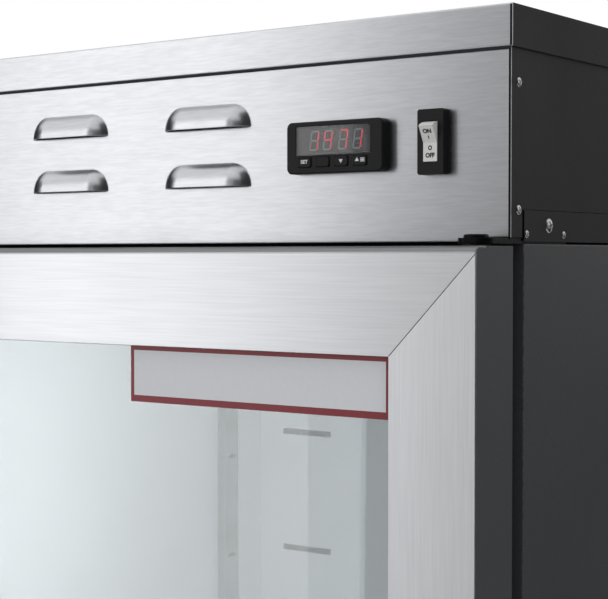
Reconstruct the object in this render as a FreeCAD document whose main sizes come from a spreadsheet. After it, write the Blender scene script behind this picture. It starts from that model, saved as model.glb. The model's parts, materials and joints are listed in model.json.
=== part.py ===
import FreeCAD, Part
import math
import os
from types import SimpleNamespace

import Sketcher

Vector = FreeCAD.Vector
doc = FreeCAD.newDocument("BlanketWarmingCabinet")
sheet = doc.addObject("Spreadsheet::Sheet", "Sizes")

# Driving sizes, in millimetres and degrees. X runs to the right, Y to the back, Z up from the floor.
driving_sizes = {
    # insulated case
    "cabinet_width": 600,
    "cabinet_depth": 563.1,
    "case_height": 1695,
    "foot_space": 60,
    "skin": 1.0,
    "wall": 50,
    "liner_skin": 0.8,
    "case_face_width": 44,
    "breaker_thickness": 2,
    "breaker_proud": 1,
    "breaker_lip": 18,
    # base frame and levelling feet
    "rail_height": 25,
    "rail_width": 40,
    "rail_sheet": 2,
    "rail_side_inset": 20,
    "rail_front_inset": 65,
    "rail_rear_inset": 30,
    "foot_bush_radius": 11,
    "foot_bush_length": 20,
    "foot_pad_radius": 22,
    "foot_pad_height": 8,
    "foot_hex_radius": 10.5,
    "foot_hex_height": 8,
    "foot_crown_radius": 17,
    "stud_radius": 6,
    "stud_clearance": 0.08,
    "stud_top_gap": 1.5,
    # shelves
    "standard_depth": 10,
    "standard_width": 20,
    "standard_sheet": 1.2,
    "standard_end_gap": 20,
    "front_standard_back": 60,
    "rear_standard_ahead": 60,
    "slot_pitch": 100,
    "slot_width": 12,
    "slot_height": 4,
    "first_slot": 15,
    "clip_thickness": 3,
    "clip_width": 11,
    "clip_arm": 14,
    "clip_hook": 7,
    "clip_play": 0.3,
    "shelf_bar": 8,
    "shelf_height": 6,
    "shelf_wire": 4,
    "shelf_side_gap": 2,
    "shelf_front_gap": 25,
    "shelf_rear_gap": 8,
    "shelf_corner": 10,
    # air system behind the rear duct panel
    "duct_depth": 65,
    "duct_sheet": 1.2,
    "outlet_width": 60,
    "outlet_height": 6,
    "outlet_pitch": 120,
    "outlet_inset": 30,
    "outlet_end_gap": 90,
    "grille_inner": 22,
    "grille_outer": 66,
    "grille_slot": 6,
    "motor_radius": 38,
    "motor_length": 32,
    "motor_plate": 2,
    "motor_plate_width": 98.8,
    "motor_plate_height": 45.6,
    "shaft_radius": 4,
    "shaft_clearance": 0.05,
    "impeller_radius": 72,
    "impeller_depth": 20,
    "impeller_gap": 3,
    "impeller_disc": 2,
    "impeller_hub": 12,
    "blade_root": 32.4,
    "blade_tip": 69.1,
    "blade_lean": 21.6,
    "heater_radius": 95,
    "heater_rod": 8,
    "heater_forward": 42,
    "probe_radius": 3,
    "probe_reach": 25,
    "probe_flange": 8,
    "probe_drop": 100,
    "thermostat_radius": 12,
    "thermostat_depth": 10,
    "thermostat_x": 145,
    "thermostat_lug_width": 36,
    "thermostat_lug_height": 9.6,
    # control canopy
    "canopy_gap": 1.5,
    "canopy_height": 141.25,
    "canopy_forward": 16.9,
    "canopy_sheet": 1.0,
    "canopy_flange": 14,
    "plinth_inset": 15,
    "tray_sheet": 1.2,
    "tray_flange_height": 18.9,
    "tray_set_back": 16.3,
    "slit": 0.9,
    "joint_gap": 0.4,
    "rear_set_in": 5,
    "vent_width": 4,
    "vent_height": 40,
    "vent_pitch": 12,
    "lid_sheet": 1.2,
    "lid_clearance": 0.3,
    "lid_lip": 25.45,
    "lid_seam": 1.0,
    "lid_edge_round": 1.0,
    "louvre_radius": 20,
    "louvre_axis_back": 12,
    "louvre_straight": 44,
    "louvre_wall": 1.0,
    "louvre_low": 38.3,
    "louvre_high": 78,
    "louvre_half_pitch": 65.5,
    # temperature controller
    "controller_inset": 123.3,
    "controller_rise": 61,
    "bezel_width": 75,
    "bezel_height": 33.5,
    "bezel_depth": 8,
    "bezel_corner": 4,
    "bezel_edge": 0.8,
    "bezel_wall": 2,
    "cutout_width": 71,
    "cutout_height": 29,
    "cutout_clearance": 0.2,
    "controller_depth": 55,
    "window_width": 58,
    "window_height": 18.6,
    "window_rise": 4.3,
    "window_sink": 0.5,
    "window_thickness": 1.5,
    "fit_gap": 0.2,
    "display_width": 52,
    "display_height": 16,
    "button_width": 10,
    "button_height": 6,
    "button_pitch": 14.4,
    "button_drop": 9.4,
    "button_proud": 0.8,
    "button_stem_end": 1.4,
    "button_corner": 1.2,
    "keys_shift": 1,
    "controller_clip": 5,
    "controller_clip_length": 16,
    # rocker switch
    "switch_inset": 51.7,
    "switch_rise": 61.05,
    "switch_width": 18.6,
    "switch_height": 40,
    "switch_proud": 7,
    "switch_corner": 1,
    "switch_body_width": 14.4,
    "switch_body_height": 35,
    "switch_body_depth": 24,
    "rocker_width": 9.8,
    "rocker_radius": 12.3,
    "rocker_tilt": 14,
    "rocker_nose": 2.3,
    "rocker_pivot_back": 2,
    "rocker_rear": 5,
    "rocker_gap": 0.3,
    "rocker_pin_radius": 1.5,
    "rocker_pin_clearance": 0.05,
    "rocker_pin_reach": 1.5,
    "switch_well": 12,
    "spade_width": 6.3,
    "spade_thickness": 0.8,
    "spade_length": 9,
    # mains inlet and terminals
    "inlet_inset": 100,
    "inlet_rise": 55,
    "inlet_width": 27,
    "inlet_height": 20,
    "inlet_depth": 20,
    "inlet_flange": 3,
    "inlet_flange_thickness": 2,
    "inlet_wall": 1.5,
    "inlet_pin_length": 14,
    "inlet_pin_width": 4,
    "inlet_pin_thickness": 2,
    "inlet_pin_spacing": 7,
    "inlet_pin_drop": 3.3,
    "terminal_width": 60,
    "terminal_depth": 24,
    "terminal_height": 20,
    "terminal_cell": 7,
    "terminal_cell_pitch": 10,
    "terminal_cell_inset": 6,
    "terminal_cell_depth": 6.7,
    # hinges
    "hinge_inset": 13,
    "hinge_back": 22,
    "hinge_plate": 3.5,
    "hinge_play": 1.3,
    "hinge_plate_width": 60,
    "hinge_plate_back": 75,
    "hinge_arm_width": 23,
    "hinge_arm_nose": 9,
    "hinge_arm_corner": 8,
    "hinge_edge_gap": 0.5,
    "hinge_notch_gap": 0.4,
    "hinge_notch_margin": 1.6,
    "hinge_lug_height": 12,
    "pin_radius": 4,
    "pin_clearance": 0.05,
    "pin_length": 20,
    "pin_head_radius": 7.5,
    "pin_head_height": 2.2,
    "bush_radius": 7,
    "bush_length": 20,
    "bush_flange_radius": 9,
    "bush_flange_height": 1,
    # door
    "door_thickness": 44.4,
    "gasket_space": 12.5,
    "gasket_gap": 0.2,
    "gasket_inset": 14,
    "gasket_width": 22,
    "gasket_base": 3,
    "gasket_bellows": 8,
    "gasket_head": 4,
    "door_side_gap": 0.6,
    "rail_cover": 66.1,
    "stile_cover": 59.7,
    "trim_sheet": 1.2,
    "trim_bend": 4.7,
    "trim_return": 12,
    "trim_lip": 4.3,
    "mitre_gap": 0.12,
    "glass_cover": 12,
    "glass_seat_gap": 0.2,
    "glazing_gap": 1,
    "pane": 4,
    "pane_space": 12,
    "spacer_width": 8,
    "ledge_cover": 2,
    # pull handle
    "handle_reach": 45,
    "handle_radius": 9,
    "handle_length": 320,
    "handle_post_radius": 6,
    "handle_post_inset": 30,
    "handle_height": 1050,
    "handle_cap": 1.5,
    # screws
    "small_screw": 3,
    "large_screw": 4.6,
    "hinge_screw": 2.4,
    "screw_shank_gap": 0.1,
    "screw_head_rise": 0.3,
    "side_screw_front": 10.1,
    "side_screw_rear": 15,
    "side_screw_drop": 44.8,
    "tray_screw_back": 49,
    "tray_screw_rise": 10,
    "hinge_screw_front": 20.5,
    "hinge_screw_back": 69,
    "hinge_screw_rise": 4.5,
}
shelf_slots = (3, 6, 9, 12)
shelf_wires = 13
vent_count = 12
grille_slots = 12
impeller_blades = 9
large_round_sides = 20
small_round_sides = 8
screw_sides = 6

for row, (alias, number) in enumerate(driving_sizes.items(), start=1):
    sheet.set(f"A{row}", alias)
    sheet.set(f"B{row}", str(number))
    sheet.setAlias(f"B{row}", alias)
doc.recompute()


class Size:
    """A size that carries its number and the sheet expression that the number comes from."""

    def __init__(self, number, text):
        self.number = number
        self.text = text

    def __add__(self, other):
        return Size(self.number + amount(other), f"({self.text} + {words(other)})")

    def __radd__(self, other):
        return Size(amount(other) + self.number, f"({words(other)} + {self.text})")

    def __sub__(self, other):
        return Size(self.number - amount(other), f"({self.text} - {words(other)})")

    def __rsub__(self, other):
        return Size(amount(other) - self.number, f"({words(other)} - {self.text})")

    def __mul__(self, other):
        return Size(self.number * amount(other), f"({self.text} * {words(other)})")

    def __rmul__(self, other):
        return self * other

    def __truediv__(self, other):
        return Size(self.number / amount(other), f"({self.text} / {words(other)})")

    def __neg__(self):
        return Size(-self.number, f"(0 - {self.text})")


def amount(size):
    return size.number if isinstance(size, Size) else size


def words(size):
    return size.text if isinstance(size, Size) else repr(float(size))


def tangent(angle):
    return Size(math.tan(math.radians(angle.number)), f"tan({angle.text} * 1 deg)")


size = SimpleNamespace(**{alias: Size(number, f"Sizes.{alias}") for alias, number in driving_sizes.items()})

# Levels and faces that several pieces share.
half_width = size.cabinet_width / 2
case_bottom = size.foot_space
case_top = case_bottom + size.case_height
canopy_bottom = case_top + size.canopy_gap
lid_top = canopy_bottom + size.canopy_height
canopy_top = lid_top - size.lid_sheet
door_ahead = size.door_thickness + size.gasket_space - size.canopy_forward
canopy_depth = size.canopy_forward + size.cabinet_depth
lid_overhang = size.lid_clearance + size.lid_sheet
overall_depth = size.handle_reach + door_ahead + canopy_depth + lid_overhang
canopy_front = size.handle_reach + door_ahead - overall_depth / 2
case_front = canopy_front + size.canopy_forward
case_rear = case_front + size.cabinet_depth
door_back = case_front - size.gasket_space
door_front = door_back - size.door_thickness
door_half = half_width - size.door_side_gap
door_bottom = case_bottom + size.hinge_play
door_top = case_top - size.hinge_play
hinge_x = half_width - size.hinge_inset
hinge_y = door_front + size.hinge_back
hinge_clear = case_top + size.hinge_plate + size.hinge_notch_gap
liner_half = half_width - size.wall - size.liner_skin
liner_bottom = case_bottom + size.wall + size.liner_skin
liner_top = case_top - size.wall - size.liner_skin
liner_rear = case_rear - size.wall - size.liner_skin
cavity_front = case_front + size.skin
duct_front = liner_rear - size.duct_depth
fan_height = (liner_bottom + liner_top) / 2
standard_face = liner_half - size.standard_depth
controller_x = half_width - size.controller_inset
switch_x = half_width - size.switch_inset
inlet_x = size.inlet_inset - half_width
glass_front = door_front + size.trim_lip + size.glass_seat_gap
glass_back = glass_front + size.pane * 2 + size.pane_space

case_x = (-half_width, half_width)
case_z = (case_bottom, case_top)
door_x = (-door_half, door_half)
door_z = (door_bottom, door_top)
liner_x = (-liner_half, liner_half)
liner_z = (liner_bottom, liner_top)


def shrink(span, inset):
    low, high = span
    return (low + inset, high - inset)


def about(centre, whole):
    """The span of a whole length about its centre."""
    return (centre - whole / 2, centre + whole / 2)


def on_side(side, inner, outer):
    """A span in X on the right side (1) or mirrored on the left side (-1)."""
    return (inner, outer) if side > 0 else (-outer, -inner)


def rectangle(across, upward):
    (left, right), (low, high) = across, upward
    return [(left, low), (right, low), (right, high), (left, high)]


def circle(across, upward, radius):
    return SimpleNamespace(across=across, upward=upward, radius=radius)


def polygon(across, upward, radius, sides, first_corner=0):
    """Corners of a regular polygon about a centre; the first corner's direction is in degrees."""
    turns = [math.radians(first_corner) + 2 * math.pi * side / sides for side in range(sides)]
    return [(across + radius * math.cos(turn), upward + radius * math.sin(turn)) for turn in turns]


def count_along(low, high, end_gap, pitch):
    """How many features at a pitch fit between two levels with a gap at each end."""
    return int((amount(high - low) - 2 * amount(end_gap)) / amount(pitch)) + 1


# Part primitives. A coordinate given as a pair is a span, and a single one is a centre.
cylinder_turns = {
    "x": FreeCAD.Rotation(Vector(0, 1, 0), 90),
    "y": FreeCAD.Rotation(Vector(1, 0, 0), -90),
    "z": FreeCAD.Rotation(),
}


def place(piece, x, y, z):
    for axis, position in (("x", x), ("y", y), ("z", z)):
        piece.setExpression(f"Placement.Base.{axis}", words(position))


def box(name, x, y, z):
    block = doc.addObject("Part::Box", name)
    for side, (low, high) in (("Length", x), ("Width", y), ("Height", z)):
        block.setExpression(side, words(high - low))
    place(block, x[0], y[0], z[0])
    return block


def lay(bar, x, y, z):
    """Gives a bar its length and place along the coordinate that is a span."""
    axis = next(name for name, value in (("x", x), ("y", y), ("z", z)) if isinstance(value, tuple))
    low, high = {"x": x, "y": y, "z": z}[axis]
    bar.setExpression("Height", words(high - low))
    bar.Placement = FreeCAD.Placement(Vector(), cylinder_turns[axis])
    place(bar, *(value[0] if isinstance(value, tuple) else value for value in (x, y, z)))
    return bar


def round_bar(name, radius, x, y, z):
    bar = doc.addObject("Part::Cylinder", name)
    bar.setExpression("Radius", words(radius))
    return lay(bar, x, y, z)


def prism_bar(name, radius, sides, x, y, z):
    bar = doc.addObject("Part::Prism", name)
    bar.Polygon = sides
    bar.setExpression("Circumradius", words(radius))
    return lay(bar, x, y, z)


def ball(name, radius, x, y, z):
    sphere = doc.addObject("Part::Sphere", name)
    sphere.setExpression("Radius", words(radius))
    place(sphere, x, y, z)
    return sphere


def fuse(name, *pieces):
    joined = doc.addObject("Part::MultiFuse", name)
    joined.Shapes = pieces
    return joined


def cut(name, base, *tools):
    remainder = doc.addObject("Part::Cut", name)
    remainder.Base = base
    remainder.Tool = tools[0] if len(tools) == 1 else fuse(f"{name}_tools", *tools)
    return remainder


def common(name, *pieces):
    shared = doc.addObject("Part::MultiCommon", name)
    shared.Shapes = pieces
    return shared


def group(name, *pieces):
    """Separate solids that share one node."""
    together = doc.addObject("Part::Compound", name)
    together.Links = pieces
    return together


# PartDesign features. The axis is the one that a prism runs along;
# sketches read X or Y across and the rest upward.
planes = {"x": ("YZ_Plane", 1), "y": ("XZ_Plane", -1), "z": ("XY_Plane", 1)}
pockets = []


def body(name):
    host = doc.addObject("PartDesign::Body", name)
    host.AllowCompound = True
    return host


def origin_feature(host, role):
    return next(item for item in host.Origin.OriginFeatures if item.Role == role)


def drive(drawing, constraint, measure):
    index = drawing.addConstraint(constraint)
    drawing.setExpression(f"Constraints[{index}]", words(measure))


def draw(drawing, outline):
    first = drawing.GeometryCount
    if isinstance(outline, SimpleNamespace):
        centre = Vector(amount(outline.across), amount(outline.upward), 0)
        drawing.addGeometry(Part.Circle(centre, Vector(0, 0, 1), amount(outline.radius)))
        drive(drawing, Sketcher.Constraint("Radius", first, amount(outline.radius)), outline.radius)
        drive(drawing, Sketcher.Constraint("DistanceX", first, 3, centre.x), outline.across)
        drive(drawing, Sketcher.Constraint("DistanceY", first, 3, centre.y), outline.upward)
        return
    points = [Vector(amount(across), amount(upward), 0) for across, upward in outline]
    for index, point in enumerate(points):
        drawing.addGeometry(Part.LineSegment(point, points[(index + 1) % len(points)]))
    for index, (across, upward) in enumerate(outline):
        line, following = first + index, first + (index + 1) % len(points)
        drawing.addConstraint(Sketcher.Constraint("Coincident", line, 2, following, 1))
        drive(drawing, Sketcher.Constraint("DistanceX", line, 1, points[index].x), across)
        drive(drawing, Sketcher.Constraint("DistanceY", line, 1, points[index].y), upward)


def sketch(host, name, axis, level, outlines):
    drawing = host.newObject("Sketcher::SketchObject", f"{host.Label}_{name}_outline")
    drawing.AttachmentSupport = (origin_feature(host, planes[axis][0]), [""])
    drawing.MapMode = "FlatFace"
    drawing.setExpression("AttachmentOffset.Base.z", words(level))
    for outline in outlines:
        draw(drawing, outline)
    return drawing


def prism(host, kind, name, axis, span, outlines):
    low, high = span if planes[axis][1] > 0 else (-span[1], -span[0])
    drawing = sketch(host, name, axis, low if kind == "Pad" else high, outlines)
    feature = host.newObject(f"PartDesign::{kind}", f"{host.Label}_{name}")
    feature.Profile = drawing
    feature.setExpression("Length", words(high - low))
    host.Tip = feature
    return feature


def pad(host, name, axis, span, *outlines):
    return prism(host, "Pad", name, axis, span, outlines)


def pocket(host, name, axis, span, *outlines):
    feature = prism(host, "Pocket", name, axis, span, outlines)
    pockets.append(feature)
    return feature


def repeat_along(host, name, feature, role, count, length):
    pattern = host.newObject("PartDesign::LinearPattern", f"{host.Label}_{name}")
    pattern.Originals = [feature]
    pattern.Direction = (origin_feature(host, role), [""])
    pattern.setExpression("Length", words(length))
    pattern.Occurrences = count
    host.Tip = pattern


def repeat_around(host, name, feature, role, count):
    pattern = host.newObject("PartDesign::PolarPattern", f"{host.Label}_{name}")
    pattern.Originals = [feature]
    pattern.Axis = (origin_feature(host, role), [""])
    pattern.Angle = 360
    pattern.Occurrences = count
    host.Tip = pattern


def runs(edge, axis):
    """True for a straight edge that lies along the axis."""
    if not isinstance(edge.Curve, (Part.Line, Part.LineSegment)):
        return False
    return abs(getattr(edge.tangentAt(edge.FirstParameter), axis)) > 0.999


def lies(edge, **place_of):
    """True for an edge whose middle has the given coordinates."""
    middle = edge.CenterOfMass
    return all(abs(getattr(middle, axis) - amount(value)) < 0.01 for axis, value in place_of.items())


def dress(host, kind, name, measure, chosen):
    """Rounds (Fillet) or bevels (Chamfer) the edges of the last feature that a test picks."""
    doc.recompute()
    last = host.Tip
    names = [f"Edge{number}" for number, edge in enumerate(last.Shape.Edges, start=1) if chosen(edge)]
    feature = host.newObject(f"PartDesign::{kind}", f"{host.Label}_{name}")
    feature.Base = (last, names)
    feature.setExpression("Radius" if kind == "Fillet" else "Size", words(measure))
    host.Tip = feature


def make_case():
    """The insulated box: painted outer case, foam, white liner, plastic mouth frame and rear panel."""
    outer = body("outer_case")
    pad(outer, "block", "y", (case_front, case_rear), rectangle(case_x, case_z))
    inside = rectangle(shrink(case_x, size.skin), shrink(case_z, size.skin))
    pocket(outer, "hollow", "y", (cavity_front, case_rear), inside)
    mouth = rectangle(shrink(case_x, size.case_face_width), shrink(case_z, size.case_face_width))
    pocket(outer, "mouth", "y", (case_front, cavity_front), mouth)

    hollow = rectangle(shrink(case_x, size.wall), shrink(case_z, size.wall))
    foam = body("foam_insulation")
    foam_rear = case_rear - size.skin
    pad(foam, "block", "y", (cavity_front, foam_rear), inside)
    pocket(foam, "cavity", "y", (cavity_front, liner_rear + size.liner_skin), hollow)

    liner = body("inner_liner")
    pad(liner, "block", "y", (cavity_front, liner_rear + size.liner_skin), hollow)
    pocket(liner, "cavity", "y", (cavity_front, liner_rear), rectangle(liner_x, liner_z))

    breaker = body("breaker_frame")
    throat = rectangle(shrink(liner_x, size.breaker_thickness), shrink(liner_z, size.breaker_thickness))
    pad(breaker, "face", "y", (case_front - size.breaker_proud, cavity_front), mouth, throat)
    lip = (cavity_front, cavity_front + size.breaker_lip)
    pad(breaker, "lip", "y", lip, rectangle(liner_x, liner_z), throat)

    rear = body("rear_panel")
    pad(rear, "sheet", "y", (foam_rear, case_rear), inside)


def foot_centres():
    across = half_width - size.rail_side_inset - size.rail_width / 2
    front = case_front + size.rail_front_inset + size.rail_width / 2
    rear = case_rear - size.rail_rear_inset - size.rail_width / 2
    return {
        "front_left": (-across, front),
        "front_right": (across, front),
        "rear_left": (-across, rear),
        "rear_right": (across, rear),
    }


def make_base():
    """A frame of channel rails with a threaded bush over each levelling foot."""
    frame = body("base_frame")
    rail_x = shrink(case_x, size.rail_side_inset)
    rail_y = (case_front + size.rail_front_inset, case_rear - size.rail_rear_inset)
    inner_x, inner_y = shrink(rail_x, size.rail_width), shrink(rail_y, size.rail_width)
    rail_low = case_bottom - size.rail_height
    web_low = case_bottom - size.rail_sheet
    pad(frame, "rails", "z", (rail_low, case_bottom), rectangle(rail_x, rail_y), rectangle(inner_x, inner_y))
    groove = (
        rectangle(shrink(rail_x, size.rail_sheet), shrink(rail_y, size.rail_sheet)),
        rectangle(shrink(inner_x, -size.rail_sheet), shrink(inner_y, -size.rail_sheet)),
    )
    pocket(frame, "channels", "z", (rail_low, web_low), *groove)
    centres = foot_centres().values()
    bushes = [polygon(x, y, size.foot_bush_radius, screw_sides) for x, y in centres]
    pad(frame, "bushes", "z", (web_low - size.foot_bush_length, web_low), *bushes)
    bores = [polygon(x, y, size.stud_radius + size.stud_clearance, small_round_sides) for x, y in centres]
    pocket(frame, "bores", "z", (web_low - size.foot_bush_length, case_bottom), *bores)

    stud_top = case_bottom - size.stud_top_gap
    for corner, (x, y) in foot_centres().items():
        foot = body(f"levelling_foot_{corner}")
        pad_edge = size.foot_pad_height / 2
        hex_top = size.foot_pad_height + size.foot_hex_height
        base = polygon(0, 0, size.foot_pad_radius, large_round_sides)
        crown = polygon(0, 0, size.foot_crown_radius, large_round_sides)
        pad(foot, "pad", "z", (0, pad_edge), base)
        pad(foot, "crown", "z", (pad_edge, size.foot_pad_height), crown)
        wrench_flats = polygon(0, 0, size.foot_hex_radius, screw_sides)
        pad(foot, "hex", "z", (size.foot_pad_height, hex_top), wrench_flats)
        stud = polygon(0, 0, size.stud_radius, small_round_sides)
        pad(foot, "stud", "z", (hex_top, stud_top), stud)
        place(foot, x, y, 0)


def screw_hole(across, upward, radius):
    """A clearance hole in a side sheet, with its corners up and down as the shank's are."""
    return polygon(across, upward, radius + size.screw_shank_gap, screw_sides, first_corner=90)


def standard_rows():
    front = cavity_front + size.front_standard_back
    rear = duct_front - size.rear_standard_ahead
    return (front, rear)


def slot_level(number):
    return liner_bottom + size.standard_end_gap + size.first_slot + size.slot_pitch * number


def make_shelves():
    """Slotted standards on the side walls, hooked clips in their slots and wire shelves on the clips."""
    standards = body("shelf_standards")
    low = liner_bottom + size.standard_end_gap
    end_gap = size.standard_end_gap + size.first_slot
    slot_count = count_along(liner_bottom, liner_top, end_gap, size.slot_pitch)
    high = slot_level(slot_count - 1) + size.first_slot
    channels, slots = [], []
    for centre in standard_rows():
        front, rear = about(centre, size.standard_width)
        for side in (-1, 1):
            wall, face = side * liner_half, side * standard_face
            web = side * (standard_face + size.standard_sheet)
            channels.append([
                (wall, front), (face, front), (face, rear), (wall, rear),
                (wall, rear - size.standard_sheet), (web, rear - size.standard_sheet),
                (web, front + size.standard_sheet), (wall, front + size.standard_sheet),
            ])
        slots.append(rectangle(about(centre, size.slot_width), about(slot_level(0), size.slot_height)))
    pad(standards, "channels", "z", (low, high), *channels)
    first = pocket(standards, "slots", "x", (-liner_half, liner_half), *slots)
    repeat_along(standards, "slot_rows", first, "Z_Axis", slot_count, size.slot_pitch * (slot_count - 1))

    clips = body("shelf_clips")
    hooks = []
    for number in shelf_slots:
        level = slot_level(number)
        bottom, top = about(level, size.clip_thickness)
        for side in (-1, 1):
            tip = side * (standard_face - size.clip_arm)
            inside = side * (standard_face + size.standard_sheet + size.clip_play)
            back = side * (standard_face + size.standard_sheet + size.clip_play + size.clip_thickness)
            hooks.append([
                (tip, bottom), (tip, top), (back, top),
                (back, bottom - size.clip_hook), (inside, bottom - size.clip_hook), (inside, bottom),
            ])
    for name, centre in zip(("front", "rear"), standard_rows()):
        pad(clips, f"{name}_row", "y", about(centre, size.clip_width), *hooks)

    shelf_x = shrink((-standard_face, standard_face), size.shelf_side_gap)
    shelf_y = (cavity_front + size.shelf_front_gap, duct_front - size.shelf_rear_gap)
    inner_x, inner_y = shrink(shelf_x, size.shelf_bar), shrink(shelf_y, size.shelf_bar)
    half_wire = size.shelf_wire / 2
    for order, number in enumerate(shelf_slots, start=1):
        shelf = body(f"wire_shelf_{order}")
        bottom = slot_level(number) + size.clip_thickness / 2
        top = bottom + size.shelf_height
        pad(shelf, "rim", "z", (bottom, top), rectangle(shelf_x, shelf_y))
        dress(shelf, "Fillet", "corners", size.shelf_corner, lambda edge: runs(edge, "z"))
        pocket(shelf, "opening", "z", (bottom, top), rectangle(inner_x, inner_y))
        span = inner_x[1] - inner_x[0]
        pitch = span / (shelf_wires + 1)
        wire_x = about(inner_x[0] + pitch, size.shelf_wire)
        wire_y = shrink(inner_y, -half_wire)
        wire = pad(shelf, "wire", "z", (top - size.shelf_wire, top), rectangle(wire_x, wire_y))
        repeat_along(shelf, "wires", wire, "X_Axis", shelf_wires, pitch * (shelf_wires - 1))


def make_air_system():
    """The duct panel across the back of the chamber, with the fan, heater and sensors behind and on it."""
    duct = body("duct_panel")
    face_back = duct_front + size.duct_sheet
    pad(duct, "face", "y", (duct_front, face_back), rectangle(liner_x, liner_z))
    walls = rectangle(shrink(liner_x, size.duct_sheet), shrink(liner_z, size.duct_sheet))
    pad(duct, "walls", "y", (face_back, liner_rear), rectangle(liner_x, liner_z), walls)
    outlet_count = count_along(liner_bottom, liner_top, size.outlet_end_gap, size.outlet_pitch)
    span = size.outlet_pitch * (outlet_count - 1)
    first = fan_height - span / 2
    outlets = []
    for side in (-1, 1):
        inner = liner_half - size.outlet_inset - size.outlet_width
        across = on_side(side, inner, inner + size.outlet_width)
        outlets.append(rectangle(across, about(first, size.outlet_height)))
    slot = pocket(duct, "outlets", "y", (duct_front, face_back), *outlets)
    repeat_along(duct, "outlet_rows", slot, "Z_Axis", outlet_count, span)

    grille = body("fan_grille")
    grille_y = (duct_front - size.duct_sheet, duct_front)
    rim_radius = size.grille_outer + size.grille_slot * 2
    pad(grille, "disc", "y", grille_y, polygon(0, 0, rim_radius, large_round_sides))
    ray = rectangle(about(0, size.grille_slot), (size.grille_inner, size.grille_outer))
    first_ray = pocket(grille, "ray", "y", grille_y, ray)
    repeat_around(grille, "rays", first_ray, "Y_Axis", grille_slots)
    place(grille, 0, 0, fan_height)
    intake = polygon(0, fan_height, size.grille_outer, large_round_sides)
    pocket(duct, "intake", "y", (duct_front, face_back), intake)

    motor_front = liner_rear - size.motor_length
    disc_back = motor_front - size.impeller_gap
    impeller_front = disc_back - size.impeller_depth
    motor = body("fan_motor")
    can = polygon(0, fan_height, size.motor_radius, large_round_sides)
    pad(motor, "can", "y", (motor_front, liner_rear), can)
    plate = rectangle(about(0, size.motor_plate_width), about(fan_height, size.motor_plate_height))
    pad(motor, "plate", "y", (liner_rear - size.motor_plate, liner_rear), plate)
    pad(motor, "shaft", "y", (impeller_front, motor_front), circle(0, fan_height, size.shaft_radius))

    impeller = body("fan_impeller")
    disc_y = (-size.impeller_disc, 0)
    blade_y = (-size.impeller_depth, -size.impeller_disc)
    pad(impeller, "disc", "y", disc_y, polygon(0, 0, size.impeller_radius, large_round_sides))
    pad(impeller, "hub", "y", blade_y, polygon(0, 0, size.impeller_hub, small_round_sides))
    root, tip, lean, thick = size.blade_root, size.blade_tip, size.blade_lean, size.impeller_disc
    blade = pad(impeller, "blade", "y", blade_y,
                [(0, root), (thick, root), (lean + thick, tip), (lean, tip)])
    repeat_around(impeller, "blades", blade, "Y_Axis", impeller_blades)
    bore_y = (-size.impeller_depth, disc_y[1])
    pocket(impeller, "bore", "y", bore_y, circle(0, 0, size.shaft_radius + size.shaft_clearance))
    place(impeller, 0, disc_back, fan_height)

    heater = body("heater_element")
    heater_back = liner_rear - size.heater_forward
    heater_y = (heater_back - size.heater_rod, heater_back)
    inner = size.heater_radius - size.heater_rod
    rings = [polygon(0, fan_height, radius, large_round_sides) for radius in (size.heater_radius, inner)]
    pad(heater, "ring", "y", heater_y, *rings)
    leg_z = (fan_height - size.heater_radius - size.heater_rod, fan_height - inner)
    legs = [rectangle(about(side * size.heater_rod, size.heater_rod), leg_z) for side in (-1, 1)]
    pad(heater, "legs", "y", (heater_back - size.heater_rod, liner_rear), *legs)

    probe_z = liner_top - size.probe_drop
    stem_y = (duct_front - size.probe_reach, duct_front)
    flange_y = (duct_front - size.motor_plate, duct_front)
    stem = prism_bar("probe_stem", size.probe_radius, small_round_sides, 0, stem_y, probe_z)
    flange = prism_bar("probe_flange", size.probe_flange, screw_sides, 0, flange_y, probe_z)
    fuse("temperature_probe", stem, flange)
    cup = prism_bar("thermostat_cup", size.thermostat_radius, large_round_sides, size.thermostat_x,
                    (liner_rear - size.thermostat_depth, liner_rear), fan_height)
    lug = box("thermostat_lugs", about(size.thermostat_x, size.thermostat_lug_width),
              (liner_rear - size.motor_plate, liner_rear), about(fan_height, size.thermostat_lug_height))
    fuse("safety_thermostat", cup, lug)


def louvre_tools(number, x, level):
    """The outside and the inside of one pressed louvre: a capsule's upper front quarter."""
    axis_y = canopy_front + size.louvre_axis_back
    half = size.louvre_straight / 2
    reach = half + size.louvre_radius
    face_back = canopy_front + size.canopy_sheet
    shapes = []
    for kind, radius in (("outside", size.louvre_radius), ("inside", size.louvre_radius - size.louvre_wall)):
        name = f"louvre_{number}_{kind}"
        capsule = fuse(
            f"{name}_capsule",
            round_bar(f"{name}_middle", radius, (x - half, x + half), axis_y, level),
            ball(f"{name}_left_end", radius, x - half, axis_y, level),
            ball(f"{name}_right_end", radius, x + half, axis_y, level),
        )
        quarter = box(f"{name}_quarter", (x - reach, x + reach),
                      (axis_y - size.louvre_radius, face_back), (level, level + size.louvre_radius))
        shapes.append(common(name, capsule, quarter))
    return shapes


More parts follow.
